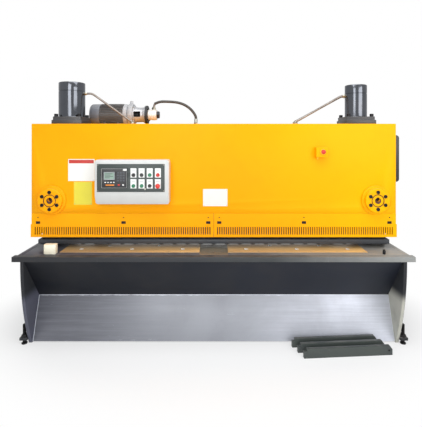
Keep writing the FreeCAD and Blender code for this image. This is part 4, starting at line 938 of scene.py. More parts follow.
FINISHES: tuple[Finish, ...] = (
    # amber_enamel: the stops make the right side brighter, painted light across the panel and guards.
    Enamel("amber_enamel", tint(255, 180, 20), 0.42, coat=0.0, specular=0.1, dust=0.06, soil=0.05,
           painted_light_stops=((-1.7, tint(255, 172, 12)), (0.0, tint(254, 166, 2)), (1.7, tint(255, 184, 0))),
           tone=0.04, soil_colour=tint(176, 98, 10), scuff=0.05, scuff_colour=tint(255, 214, 120)),
    Enamel("slate_enamel", tint(46, 50, 58), 0.42, scuff=0.3, scuff_colour=tint(120, 124, 128)),
    # table_enamel: the stops darken the left and brighten the right, painted light and shade across the
    # table.
    Enamel("table_enamel", tint(74, 76, 88), 0.3, coat=0.0, specular=0.25, dust=0.05, tone=0.15,
           painted_light_stops=((-1.7, tint(62, 60, 70)), (-1.2, tint(84, 84, 94)), (0.2, tint(92, 96, 104)),
                  (1.1, tint(144, 144, 142)), (1.75, tint(164, 160, 152))),
           soil_colour=tint(40, 42, 48), scuff=0.35, scuff_colour=tint(160, 164, 166)),
    # bar_enamel: the stops darken the left and brighten the right, painted light and shade along the
    # bar.
    Enamel("bar_enamel", tint(80, 82, 84), 0.46, coat=0.0, specular=0.25, dust=0.08, tone=0.12,
           painted_light_stops=((-1.75, tint(48, 49, 52)), (-0.4, tint(56, 58, 61)), (0.5, tint(66, 69, 70)),
                  (1.1, tint(116, 118, 117)), (1.75, tint(150, 152, 150))),
           soil=0.2, soil_colour=tint(44, 44, 46), scuff=0.35, scuff_colour=tint(176, 176, 172)),
    # frame_enamel: the stops brighten the inner faces to the right as painted light, the colour above
    # 0.40 m is painted shade under the apron, and the outer faces keep the plain paint.
    Enamel("frame_enamel", tint(60, 62, 62), 0.55, coat=0.0, specular=0.2, dust=0.12, soil=0.3,
           painted_light_stops=((-1.7, tint(88, 90, 104)), (0.0, tint(110, 112, 116)), (1.7, tint(190, 190, 180))),
           above=(0.40, 0.12, tint(42, 44, 48)), outer=(1.716, tint(84, 87, 92)),
           scuff=0.3, ripple=0.09),
    Enamel("hold_down_enamel", tint(60, 64, 70), 0.42, coat=0.1, dust=0.2, soil=0.3,
           scuff=0.35, scuff_colour=tint(130, 130, 130)),
    # apron_enamel: its very dark stops are painted shade under the table's edge, a little lighter to the
    # right as painted light.
    Enamel("apron_enamel", tint(30, 33, 42), 0.5, coat=0.0, specular=0.2, dust=0.03, soil=0.15,
           painted_light_stops=((-1.6, tint(22, 25, 32)), (1.6, tint(36, 40, 50))),
           scuff=0.1, scuff_colour=tint(80, 84, 92)),
    Enamel("beam_enamel", tint(118, 122, 122), 0.5, dust=0.4, soil=0.35),
    Enamel("tank_enamel", tint(96, 104, 110), 0.45, dust=0.4, soil=0.3, scuff=0.2),
    Enamel("box_enamel", tint(206, 208, 206), 0.42, dust=0.2, soil=0.12,
           soil_colour=tint(150, 148, 140), scuff=0.1, scuff_colour=tint(190, 192, 194)),
    Enamel("cabinet_enamel", tint(22, 23, 26), 0.4, dust=0.3, soil=0.15, scuff=0.15,
           scuff_colour=tint(90, 90, 92)),
    Enamel("motor_enamel", tint(104, 102, 102), 0.4, dust=0.3, soil=0.3, scuff=0.2),
    Enamel("fan_enamel", tint(122, 126, 134), 0.2, coat=0.6, dust=0.15, soil=0.15, scuff=0.15),
    Enamel("shield_enamel", tint(180, 181, 184), 0.35, dust=0.2, soil=0.2, scuff=0.15),
    Enamel("flange_enamel", tint(62, 63, 66), 0.36, coat=0.1, dust=0.2),
    Enamel("arm_enamel", tint(60, 67, 63), 0.52, dust=0.12, soil=0.40,
           soil_colour=tint(40, 44, 52), scuff=0.9, scuff_colour=tint(176, 174, 166), ripple=0.12),
    Enamel("cream_enamel", tint(255, 249, 226), 0.4, dust=0.15, soil=0.2,
           soil_colour=tint(150, 138, 112), scuff=0.2, scuff_colour=tint(200, 192, 170)),
    Enamel("white_plate", tint(240, 240, 236), 0.32, dust=0.05, soil=0.10,
           soil_colour=tint(176, 172, 162), scuff=0.08, scuff_colour=tint(210, 210, 206)),
    Enamel("lime_plate", tint(226, 214, 60), 0.35, dust=0.05, soil=0.12,
           soil_colour=tint(160, 150, 60), scuff=0.08, scuff_colour=tint(230, 226, 150)),
    Enamel("red_band", tint(196, 52, 40), 0.35, dust=0.05, soil=0.12,
           soil_colour=tint(120, 40, 34), scuff=0.08, scuff_colour=tint(226, 140, 130)),
    Enamel("data_plate", tint(226, 226, 220), 0.28, dust=0.05, soil=0.12,
           soil_colour=tint(160, 158, 150), scuff=0.12, scuff_colour=tint(190, 190, 186)),
    # amber_reflection_plate: the wear plates' golden colour is a painted reflection of the amber guard,
    # and its stops brighten it to the right as painted light.
    Metal("amber_reflection_plate", tint(206, 164, 104), 0.36, stretch=(2.0, 70.0, 40.0), stain=0.2,
          stain_colour=tint(120, 84, 48), scuff=0.5, grain=0.04, metallic=0.1,
          painted_light_stops=((-1.6, tint(184, 152, 106)), (0.0, tint(206, 168, 112)), (1.6, tint(232, 188, 120)))),
    # kick_sheet: the stops run from dark on the left to pale lavender on the right as painted reflection
    # and light; the pale lines along its ends and top are a painted highlight of the bent edges.
    Metal("kick_sheet", tint(200, 202, 214), 0.44, stretch=(1.4, 30.0, 55.0), stain=0.16,
          stain_colour=tint(70, 70, 76), stain_scale=1.6, scuff=0.6, grain=0.10, metallic=0.3,
          painted_highlight_edge=(KICK_HALF_WIDTH, KICK_TOP),
          painted_light_stops=((-1.69, tint(100, 102, 110)), (0.0, tint(150, 153, 160)), (1.6, tint(225, 229, 240)))),
    Metal("knife", tint(214, 214, 212), 0.20, (1.5, 50.0, 80.0), tint(160, 158, 152), 0.2),
    Metal("chrome", tint(226, 228, 230), 0.08, (30.0, 30.0, 2.0), tint(206, 208, 210), 0.05,
          scuff=0.15, grain=0.02),
    Metal("foot_steel", tint(70, 68, 66), 0.38, (40.0, 40.0, 6.0), tint(48, 46, 44), 0.4,
          tint(60, 44, 32), scuff=0.3),
    Metal("rusty_steel", tint(92, 52, 26), 0.5, (30.0, 30.0, 30.0), tint(60, 34, 20), 0.4,
          tint(120, 74, 36), scuff=0.3, metallic=0.4),
    Metal("centre_steel", tint(128, 124, 112), 0.36, (30.0, 4.0, 30.0), tint(102, 96, 84), 0.45,
          tint(104, 84, 52), scuff=0.7, metallic=0.4),
    Metal("bright_barrel", tint(112, 115, 121), 0.15, (30.0, 30.0, 2.0), tint(100, 103, 109), 0.06,
          scuff=0.15, grain=0.02),
    Metal("bell_alloy", tint(206, 207, 210), 0.36, (20.0, 30.0, 30.0), tint(186, 187, 190), 0.2,
          tint(110, 104, 96), scuff=0.3, metallic=0.5),
    Metal("pump_alloy", tint(255, 252, 244), 0.3, (10.0, 30.0, 30.0), tint(244, 240, 232), 0.25,
          tint(110, 100, 88), scuff=0.3, metallic=0.12),
    Metal("pipe_steel", tint(176, 170, 164), 0.24, (14.0, 14.0, 14.0), tint(120, 110, 104), 0.2,
          scuff=0.15, grain=0.03, metallic=0.5),
    Metal("zinc", tint(188, 186, 176), 0.32, (30.0, 30.0, 30.0), tint(150, 146, 132), 0.2, scuff=0.3),
    Metal("blackened", tint(44, 44, 46), 0.42, (30.0, 30.0, 30.0), tint(28, 28, 30), 0.25,
          tint(50, 38, 28), scuff=0.3, metallic=0.7),
    Metal("gauge_steel", tint(176, 176, 174), 0.26, (3.0, 40.0, 40.0), tint(140, 140, 138), 0.2,
          scuff=0.3),
    Cast("dark_casting", tint(46, 48, 52), 0.48, tint(26, 27, 30)),
    Cast("lug_casting", tint(40, 42, 46), 0.55, tint(26, 28, 30), dust=0.25),
    Moulded("hose_rubber", tint(66, 63, 60), 0.46, texture=0.35, texture_scale=420.0),
    Moulded("black_knob", tint(20, 20, 22), 0.3, 0.25),
    Moulded("green_knob", tint(24, 122, 84), 0.28, 0.35),
    Moulded("red_knob", tint(206, 34, 14), 0.34, 0.15),
    Moulded("yellow_collar", tint(246, 200, 24), 0.36, 0.2),
    Moulded("panel_film", tint(58, 66, 64), 0.4, texture=0.08, soil=0.2),
    Moulded("controller_case", tint(30, 31, 34), 0.35, texture=0.1),
    Moulded("keypad", tint(70, 74, 80), 0.42, texture=0.1),
    Moulded("bezel_grey", tint(150, 156, 158), texture=0.1),
    Moulded("screen_glass", tint(136, 160, 146), 0.12, 0.6, texture=0.02, glow=0.05),
    Moulded("legend_white", tint(236, 238, 236), 0.38, texture=0.05, soil=0.1),
    Moulded("key_white", tint(232, 234, 232), texture=0.05, soil=0.08),
    Moulded("key_orange", tint(236, 140, 40), texture=0.05, soil=0.08),
    Moulded("key_red", tint(204, 48, 40), texture=0.05, soil=0.08),
    Moulded("frame_line", tint(170, 176, 172), 0.42, texture=0.05, soil=0.1),
    Moulded("shadow_black", tint(10, 10, 11), 0.7, texture=0.1),
)


class Shop:
    """Makes each finish's material once and hands it out by name."""

    def __init__(self, finishes: Iterable[Finish]) -> None:
        """Keep the finishes and build the shared effects."""
        self.effects = Effects()
        self.finishes = {finish.name: finish for finish in finishes}
        self.made: dict[str, bpy.types.Material] = {}

    def __getitem__(self, name: str) -> bpy.types.Material:
        """The material of one finish."""
        if name not in self.made:
            self.made[name] = self.finishes[name].make(self.effects)
        return self.made[name]


@dataclass
class Studio:
    """The floor, the lights, the white surround and the camera."""

    camera_place: Triple = (17.5, -3308.0, 1909.0)
    lens: float = 31.52
    shift_x: float = -0.0108
    shift_y: float = -0.178
    lamps: tuple[tuple[str, Triple, float, float, float], ...] = (
        ("ceiling", (0.3, -1.8, 5.2), 5.0, 3.0, 142.0),
        ("left_window", (-1.5, -4.6, 2.9), 1.9, 3.0, 62.0),
        ("right_window", (3.8, -4.6, 2.9), 3.4, 3.0, 100.0),
        ("front_fill", (0.2, -5.6, 1.2), 4.0, 1.6, 46.0),
    )

    def build(self) -> None:
        """Build the whole studio, with each lamp's place, width, height and power."""
        self._floor()
        self._world()
        for name, place, wide, tall, watts in self.lamps:
            self._lamp(name, Vector(place), (wide, tall), watts)
        self._camera()

    @staticmethod
    def _seen(bench: Bench) -> tuple[Socket, Socket]:
        """Whether a ray comes from the camera or through glass, and whether from gloss."""
        path = bench.node("ShaderNodeLightPath").outputs
        seen = bench.math("MAXIMUM", path["Is Camera Ray"], path["Is Transmission Ray"])
        return seen, path["Is Glossy Ray"]

    def _floor(self) -> None:
        """A wide plain floor that shows white to the camera and keeps the shadow."""
        floor = primitive("floor", bpy.ops.mesh.primitive_grid_add, x_subdivisions=8, y_subdivisions=8,
                          size=40.0)
        settle(floor)
        material = bpy.data.materials.new("floor")
        material.use_nodes = True
        bench = Bench(material.node_tree)
        diffuse = bench.node("ShaderNodeBsdfPrincipled")
        place = bench.node("ShaderNodeTexCoord").outputs["Object"]
        tone = bench.blend(bench.noise(place, 0.8), (0.90, 0.90, 0.90), (0.92, 0.92, 0.92))
        bench.feed(tone, diffuse.inputs["Base Color"])
        bench.feed(0.9, diffuse.inputs["Roughness"])
        glow = bench.node("ShaderNodeEmission")
        far = bench.node("ShaderNodeVectorMath", operation="LENGTH")
        bench.feed(bench.stretched(place, (0.42, 0.62, 0.0)), far.inputs[0])
        seen = bench.math("MAXIMUM", *self._seen(bench))
        share = bench.math("MULTIPLY", seen, bench.band(far.outputs["Value"], 0.72, 1.1, 0.45, 1.0))
        bench.show("ShaderNodeOutputMaterial", share, diffuse.outputs[0], glow.outputs[0])
        paint(floor, material)

    def _world(self) -> None:
        """A soft surround that is white to the camera, to gloss and through glass."""
        world = bpy.data.worlds.new("surround")
        world.use_nodes = True
        bpy.context.scene.world = world
        bench = Bench(world.node_tree)
        shades = []
        for colour, strength in (((0.95, 0.97, 1.0), 0.34), ((1.0, 1.0, 1.0), 1.0)):
            shade = bench.node("ShaderNodeBackground")
            bench.feed(colour, shade.inputs["Color"])
            bench.feed(strength, shade.inputs["Strength"])
            shades.append(shade.outputs[0])
        seen, glossy = self._seen(bench)
        share = bench.math("MAXIMUM", seen, bench.math("MULTIPLY", glossy, 0.45), True)
        bench.show("ShaderNodeOutputWorld", share, *shades)

    @staticmethod
    def _lamp(name: str, place: Vector, size: tuple[float, float], watts: float) -> None:
        """A rectangular soft lamp that faces the machine's middle.

        Args:
            name: The lamp's name.
            place: Where it hangs.
            size: Its width and height, in metres.
            watts: Its power.
        """
        data = bpy.data.lights.new(name, "AREA")
        data.shape = "RECTANGLE"
        data.size, data.size_y = size
        data.energy = watts
        lamp = bpy.data.objects.new(name, data)
        lamp.location = place
        lamp.rotation_euler = (Vector((0.0, 0.0, 1.1)) - place).to_track_quat("-Z", "Y").to_euler()
        bpy.context.scene.collection.objects.link(lamp)

    def _camera(self) -> None:
        """The camera at the photograph's angle."""
        data = bpy.data.cameras.new("camera")
        data.sensor_fit = "AUTO"
        data.sensor_width = 36.0
        data.lens = self.lens
        data.shift_x = self.shift_x
        data.shift_y = self.shift_y
        data.clip_end = 60.0
        camera = bpy.data.objects.new("camera", data)
        camera.location = at(*self.camera_place)
        camera.rotation_euler = (math.pi / 2, 0.0, 0.0)
        bpy.context.scene.collection.objects.link(camera)
        bpy.context.scene.camera = camera


@dataclass
class Assembly:
    """A group of pieces that takes its finishes from the shop."""

    shop: Shop

    def add(self, piece: Piece, finish: str, slot: str = "screw_steel", body: str = "machine") -> None:
        """Paint a piece, seat it on its body and report it.

        Args:
            piece: The finished object.
            finish: The name of its finish.
            slot: The record's material slot that it stands for; not used.
            body: The body that it rides on.
        """
        paint(piece, self.shop[finish])
        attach(piece, body)
        LOG.info("%s: %d faces, rides on %s", piece.name, len(piece.data.polygons), body)

    def stand(self, piece: Piece, finish: str, node: str, slot: str = "") -> None:
        """Add a piece that stands for a CAD node, on that node's body.

        Args:
            piece: The finished object.
            finish: The name of its finish.
            node: The CAD node that it replaces.
            slot: The record's material slot, where it isn't the node's own.
        """
        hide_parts(node)
        own = next(part for part in frame["record"]["subparts"] if part["node"] == node)
        self.add(piece, finish, slot or own["material_slot"], frame["nodes"][node]["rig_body"])


@dataclass(frozen=True)
class Dress:
    """How one CAD node is dressed: its finish and the rounding of its edges, in millimetres."""

    node: str
    finish: str
    bevel: float
    segments: int = 2


DRESSES: tuple[Dress, ...] = (
    Dress("left_side_frame", "frame_enamel", 2.0),
    Dress("right_side_frame", "frame_enamel", 2.0),
    Dress("table", "table_enamel", 1.5),
    Dress("table_wings", "table_enamel", 1.5),
    Dress("front_bar", "bar_enamel", 2.0),
    Dress("wear_plates", "amber_reflection_plate", 0.6, 1),
    Dress("centre_plate", "centre_steel", 1.0),
    Dress("lower_blade", "knife", 0.5, 1),
    Dress("lower_beam", "slate_enamel", 1.5),
    Dress("apron", "apron_enamel", 1.5),
    Dress("kick_panel", "kick_sheet", 1.5),
    Dress("front_panel", "amber_enamel", 2.5, 3),
    Dress("left_finger_guard", "amber_enamel", 0.8, 1),
    Dress("right_finger_guard", "amber_enamel", 0.8, 1),
    Dress("hold_down_beam", "hold_down_enamel", 1.5),
    Dress("blade_beam", "beam_enamel", 2.0),
    Dress("upper_blade", "knife", 0.5, 1),
    Dress("gauge_rails", "beam_enamel", 1.5),
    Dress("gauge_fence", "gauge_steel", 1.2),
    Dress("deck", "amber_enamel", 2.0),
    Dress("cylinder_bases", "flange_enamel", 3.0),
    Dress("oil_tank", "tank_enamel", 4.0),
    Dress("rear_chute", "beam_enamel", 1.5),
    Dress("control_box", "box_enamel", 4.0, 3),
    Dress("operator_panel", "panel_film", 0.8),
    Dress("stop_box", "amber_enamel", 2.5, 3),
    Dress("side_cabinet", "cabinet_enamel", 4.0, 3),
    Dress("foot_lugs", "lug_casting", 2.0),
    Dress("stop_block", "cream_enamel", 2.5, 3),
    Dress("support_arms", "arm_enamel", 2.5),
)


@dataclass
class Plating(Assembly):
    """The plates, beams and boxes whose CAD shape only needs rounded edges and a finish."""

    dresses: tuple[Dress, ...] = DRESSES

    def build(self) -> None:
        """Dress every listed node."""
        for dress in self.dresses:
            piece = dressed_copy(dress.node, dress.bevel * MM, dress.segments)
            self.stand(piece, dress.finish, dress.node)


@dataclass
class GuideHousings(Assembly):
    """The two round roller guide housings on the front panel."""

    x: float = 1537.0
    height: float = 1316.0
    face: float = 241.0
    sleeve_end: float = 441.3
    boss: float = 53.0
    bolt_circle: float = 80.0
    bolts: int = 6

    def build(self) -> None:
        """Build both housings, each with its ring of socket bolts round the boss."""
        for side, word in ((-1, "left"), (1, "right")):
            self._housing(side, word + "_guide_housing")
            centre = at(side * self.x, self.face - self.boss, self.height)
            start = centre + Vector((0.0, 0.0, self.bolt_circle * MM))
            model = socket_bolt(Axis.Y, start, 0.0165, -0.009)
            self.add(spun(word + "_housing_bolts", model, Axis.Y, centre, self.bolts), "blackened")

    def _housing(self, side: int, node: str) -> None:
        """One stepped round casting with its sleeve and off-centre socket.

        Args:
            side: Which side it is on.
            node: The CAD node that it stands for.
        """
        centre = at(side * self.x, self.face, self.height)
        reach = self.sleeve_end - self.face
        body = turned(node + "_casting", Axis.Y, centre, [
            (60, reach - 0.5), (61.5, reach - 2), (61.5, 0.1), (137, 0.1), (137, -13), (135, -15),
            (116, -15), (114, -17), (114, -49), (110, -53), (58, -53), (56, -50.5), (52, -50.5),
            (50, -52.5)], 72, 0.0008)
        eye = centre + Vector((0.001, 0.0, 0.013))
        hole = ((19, -60), (19, -30), (4, -24))
        body = carved(body, turned("drill", Axis.Y, eye, hole, 28))
        self.stand(soften(body, 0.0, 1, 30.0), "amber_enamel", node)
        # The black piece at the bottom of the drilled hole is painted shade in the hole.
        self.add(turned(node + "_plug", Axis.Y, eye, [
            (18.8, -26), (18.8, -31), (13, -33), (9, -33), (7, -28)], 24), "shadow_black")
        collar = turned(node + "_collar", Axis.Y, centre, [(30, -51.8), (29, -53.0), (4, -53.1)])
        self.add(carved(collar, turned("drill", Axis.Y, eye, hole, 28)), "rusty_steel")
        # A thin dark rusty ring lies in the step round the boss.
        ring_centre = centre + Vector((0.0, -0.0522, 0.0))
        line = ring(node + "_dark_ring", Axis.Y, ring_centre, 0.0565, 0.0036, 64)
        self.add(line, "rusty_steel", "yellow_paint")


@dataclass
class GuardFixings(Assembly):
    """What holds the finger guards: wide bolt slots, each drawn as a thin black sheet of painted shade,
    and a small screw above each.
    """

    face: float = 241.0
    slot_height: float = 1102.0
    screw_height: float = 1150.0
    slot_x: tuple[float, ...] = (52.0, 856.0, 1668.0)

    def build(self) -> None:
        """Build the slots with their washers and bolts, and the screws above them."""
        slots, screws = ([at(side * x, self.face, height) for side in (-1, 1) for x in self.slot_x]
                         for height in (self.slot_height, self.screw_height))
        # Each slot is a thin black sheet on the guard's face, painted shade inside the slot.
        slot_shade = block("slot_shade", Vector((-0.020, -0.0015, -0.012)), Vector((0.020, 0.0005, 0.012)), 0.0)
        self.add(repeated("guard_slots", slot_shade, slots), "shadow_black", "black_plastic")
        washer = turned("washer", Axis.Y, Vector((0.004, 0.0, 0.0)), [
            (11, -1.4), (11, -3.6), (10.4, -4)], 20)
        head = hexagon("head", Axis.Y, Vector((0.004, -0.004, 0.0)), 0.018, -0.007)
        model = joined("guard_bolt", [washer, head])
        self.add(repeated("guard_bolts", model, slots), "blackened")
        model = turned("screw", Axis.Y, ORIGIN, [
            (5.5, 0.4), (5.5, -1.6), (4.2, -3.2), (2.2, -3.4), (2.0, -1.8)], 14)
        self.add(repeated("guard_screws", model, screws), "blackened")


@dataclass
class PressFeet(Assembly):
    """The row of round press feet under the hold-down beam."""

    count: int = 27
    pitch: float = 126.7
    depth: float = 331.0
    bottom: float = 875.0

    def build(self) -> None:
        """Model one foot and copy it along the beam."""
        centre = at(0.0, self.depth, self.bottom)
        foot = turned("foot", Axis.Z, centre, [
            (20, 0), (23.5, 0.8), (25, 3), (25, 7.5), (23.5, 9), (19, 9), (17, 11), (17, 48.6)], 28)
        groove = ring("groove", Axis.Z, centre + Vector((0, 0, 0.0095)), 0.0172, 0.0016, 20)
        model = joined("press_foot", [foot, groove])
        middle = (self.count - 1) / 2
        moves = [Vector(((n - middle) * self.pitch * MM, 0.0, 0.0)) for n in range(self.count)]
        self.stand(repeated("press_foot_row", model, moves), "foot_steel", "press_feet")


@dataclass
class BallTransfers(Assembly):
    """The ball units in the wear plates."""

    radius: float = 0.013
    spacing: float = 0.03

    def build(self) -> None:
        """Model one ball in its cup and copy it to every place."""
        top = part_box("ball_units")[1].z
        ball = primitive("ball", bpy.ops.mesh.primitive_uv_sphere_add, segments=20, ring_count=12,
                         radius=self.radius, location=(0.0, 0.0, -0.0105))
        settle(ball)
        soften(ball, 0.0, 1, 60.0)
        cup = turned("cup", Axis.Z, ORIGIN, [
            (19, -1.5), (19, 0.3), (17.6, 0.9), (14.2, 0.9), (13.1, -0.8)], 28)
        rise = Vector((0.0, 0.0, top - 0.0025))
        places = [place + rise for place in self._places(top)]
        balls = repeated("transfer_balls", ball, places)
        cups = repeated("transfer_cups", cup, places)
        self.stand(balls, "chrome", "ball_units")
        self.add(cups, "pump_alloy", "ground_steel")

    def _places(self, top: float) -> list[Vector]:
        """Where the balls are, at floor level.

        Args:
            top: How high the balls stand.

        Returns:
            One place for each ball.
        """
        places: list[Vector] = []
        for vertex in frame["nodes"]["ball_units"].data.vertices:
            if vertex.co.z > top - 0.0004:
                spot = Vector((vertex.co.x, vertex.co.y, 0.0))
                if all((spot - other).length > self.spacing for other in places):
                    places.append(spot)
        return places


@dataclass
class MainCylinders(Assembly):
    """The two main cylinders with screwed caps, on their flanges."""

    cylinders: tuple[tuple[str, int, float, float], ...] = (
        ("left_main_cylinder", -1, 130.5, 2475.0), ("right_main_cylinder", 1, 109.0, 2450.0))
    x: float = 1475.0
    depth: float = 580.0
    base: float = 2085.0
    flange: float = 280.0
    flange_height: float = 35.0

    def build(self) -> None:
        """Build each barrel with its socket bolts and the bleed plug on its cap."""
        for name, side, r, top in self.cylinders:
            centre = at(side * self.x, self.depth, self.base)
            rise = top - self.base
            foot = self.flange_height
            barrel = turned(name + "_barrel", Axis.Z, centre, [
                (r - 4, foot), (r + 3, foot), (r, foot + 7), (r, rise - 94), (r - 3, rise - 92),
                (r - 3, rise - 88), (r, rise - 86), (r, rise - 8), (r - 2.5, rise - 2.5),
                (r - 8, rise), (r - 26, rise), (r - 28, rise - 2.5), (26, rise - 2.5),
                (24, rise - 6)], 96)
            self.stand(barrel, "bright_barrel", name)
            reach = (self.flange / 2 - 24) * MM
            corner = centre + Vector((reach, reach, foot * MM))
            model = socket_bolt(Axis.Z, corner, 0.019, 0.028)
            self.add(spun(name + "_bolts", model, Axis.Z, centre, 4), "blackened")
            seat = centre + Vector((-0.5 * r * MM, -0.35 * r * MM, (rise - 2.6) * MM))
            self.add(hexagon(name + "_plug", Axis.Z, seat, 0.020, 0.0024), "zinc")


@dataclass
class MotorPump(Assembly):
    """The motor, bell housing and pump that lie along the deck."""

    depth: float = 915.0
    height: float = 2164.0
    fins: int = 34

    def build(self) -> None:
        """Build every part from the fan cover to the pump's end."""
        self._fan_cover()
        self._stator()
        self._shield()
        self._bell()
        self._pump()

    @property
    def _shaft(self) -> Vector:
        """A point on the shaft, at the middle of the machine."""
        return at(0.0, self.depth, self.height)

    def _on_shaft(self, name: str, sides: int, *stations: tuple[float, float]) -> Piece:
        """A piece turned about the shaft, in millimetres from the machine's middle."""
        return turned(name, Axis.X, self._shaft, stations, sides)

    def _slab(self, name: str, span: tuple[float, float], aside: tuple[float, float],
              up: tuple[float, float], bevel: float, segments: int = 2) -> Piece:
        """A block near the shaft, in millimetres.

        Args:
            name: The new object's name.
            span: Where it starts and ends along the machine.
            aside: Where it starts and ends in depth, from the shaft.
            up: Where it starts and ends in height, from the shaft.
            bevel: The width of its rounded edges, in metres.
            segments: How many faces round each edge.

        Returns:
            The new object.
        """
        low, high = (at(span[n], self.depth + aside[n], self.height + up[n]) for n in (0, 1))
        return block(name, low, high, bevel, segments)

    def _fan_cover(self) -> None:
        """The domed cover with its ring of air slots."""
        cover = self._on_shaft("fan_cover", 72, (78, -1382), (96, -1380), (110, -1374), (118, -1364),
                               (121, -1352), (121, -1266), (116, -1264.5))
        slot = self._slab("slot", (-1386, -1377), (-3, 3), (24, 66), 0.0)
        cover = carved(cover, spun("slots", slot, Axis.X, self._shaft, 20))
        self.stand(soften(cover, 0.0, 1, 35.0), "fan_enamel", "motor_fan_cover")
        hub = self._on_shaft("fan_cover_badge", 24, (16, -1381.8), (16, -1383.4), (14, -1384))
        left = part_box("motor_fan_cover")[0].x
        shift = max(0.0, left - min(v.co.x for v in hub.data.vertices))
        hub.data.transform(Matrix.Translation((shift, 0, 0)))
        self.add(hub, "zinc", "motor_paint")

    def _stator(self) -> None:
        """The finned body on its four feet."""
        core = self._on_shaft("core", 72, (108, -1264), (108, -1009))
        fin = self._slab("fin", (-1262, -1011), (-1.9, 1.9), (104, 123.0), 0.0012, 1)
        ribs = spun("ribs", fin, Axis.X, self._shaft, self.fins, 0.5)
        feet = []
        for x in (-1210.0, -1064.0):
            for side in (-1, 1):
                for name, half, aside, low, high in (("foot", 30, (62, 106), 2040.2, 2054),
                                                     ("web", 10, (70, 84), 2050, 2120)):
                    near, far = sorted(self.depth + side * d for d in aside)
                    feet.append(block(name, at(x - half, near, low), at(x + half, far, high), 0.002))
        self.stand(joined("motor_stator", [core, ribs, *feet]), "motor_enamel", "motor_body")

    def _shield(self) -> None:
        """The end shield, the flange with its nuts, and the lifting lug."""
        for piece in (
            self._on_shaft("motor_shield", 72, (104, -1009.5), (119, -1006), (121, -996),
                           (118, -975), (108, -962), (92, -957)),
            self._on_shaft("motor_flange", 72, (96, -957), (121, -955), (123, -952), (123, -906),
                           (120, -901), (90, -900.5)),
            self._slab("motor_lifting_lug", (-948, -912), (-11, 11), (114, 158), 0.010, 3),
        ):
            self.add(piece, "shield_enamel", "motor_paint")
        nut = hexagon("nut", Axis.X, self._shaft + Vector((-0.9005, 0.0, 0.104)), 0.022, 0.009)
        self.add(spun("flange_nuts", nut, Axis.X, self._shaft, 4, 0.5), "zinc")

    def _bell(self) -> None:
        """The light alloy bell housing with an open window on each side."""
        bell = self._on_shaft(
            "bell", 64, (104, -900), (106, -898), (106, -889), (103, -887), (90, -884), (84, -872),
            (82, -800), (85, -788), (94, -784), (96, -781), (96, -772), (94, -770))
        bell = carved(bell, self._on_shaft("hollow", 48, (72, -896), (70, -776)))
        for side in (-1, 1):
            aside = (side * 90 - 60, side * 90 + 60)
            window = self._slab("window", (-892, -818), aside, (-26, 36), 0.010, 4)
            bell = carved(bell, window)
        self.stand(soften(bell, 0.0, 1, 35.0), "bell_alloy", "bell_housing")
        # The coupling is coloured near black, painted shade inside the bell seen through its windows.
        coupling = self._on_shaft(
            "coupling", 36, (20, -894), (44, -892), (46, -888), (46, -846), (38, -842), (38, -832),
            (46, -828), (46, -790), (30, -786), (28, -778))
        self.add(coupling, "shadow_black", "pump_iron")

    def _pump(self) -> None:
        """The mounting plate, the pump's body, its hexagon end and its outlet."""
        plate = self._on_shaft("pump_plate", 64, (100, -769.8), (104, -768), (104, -746), (101, -743))
        self.add(plate, "dark_casting", "pump_iron")
        body = self._on_shaft(
            "pump_body", 56, (54, -743), (60, -740), (60, -712), (57, -709), (57, -700), (60, -697),
            (60, -650), (56, -645), (40, -644))
        self.stand(body, "pump_alloy", "pump")
        end = hexagon("pump_end", Axis.X, self._shaft + Vector((-0.6445, 0, 0)), 0.088, 0.0280)
        self.add(end, "dark_casting", "pump_iron")
        bolt = socket_bolt(Axis.X, self._shaft + Vector((-0.7425, 0.0, 0.080)), 0.0085, 0.009)
        self.add(spun("pump_bolts", bolt, Axis.X, self._shaft, 4, 0.5), "blackened")
        port = at(-680.0, self.depth, self.height + 50)
        boss = turned("pump_outlet", Axis.Z, port, [
            (26, -10), (26, 4), (24, 6), (17, 7), (17, 11.5)])
        self.add(boss, "pump_alloy", "pump_iron")


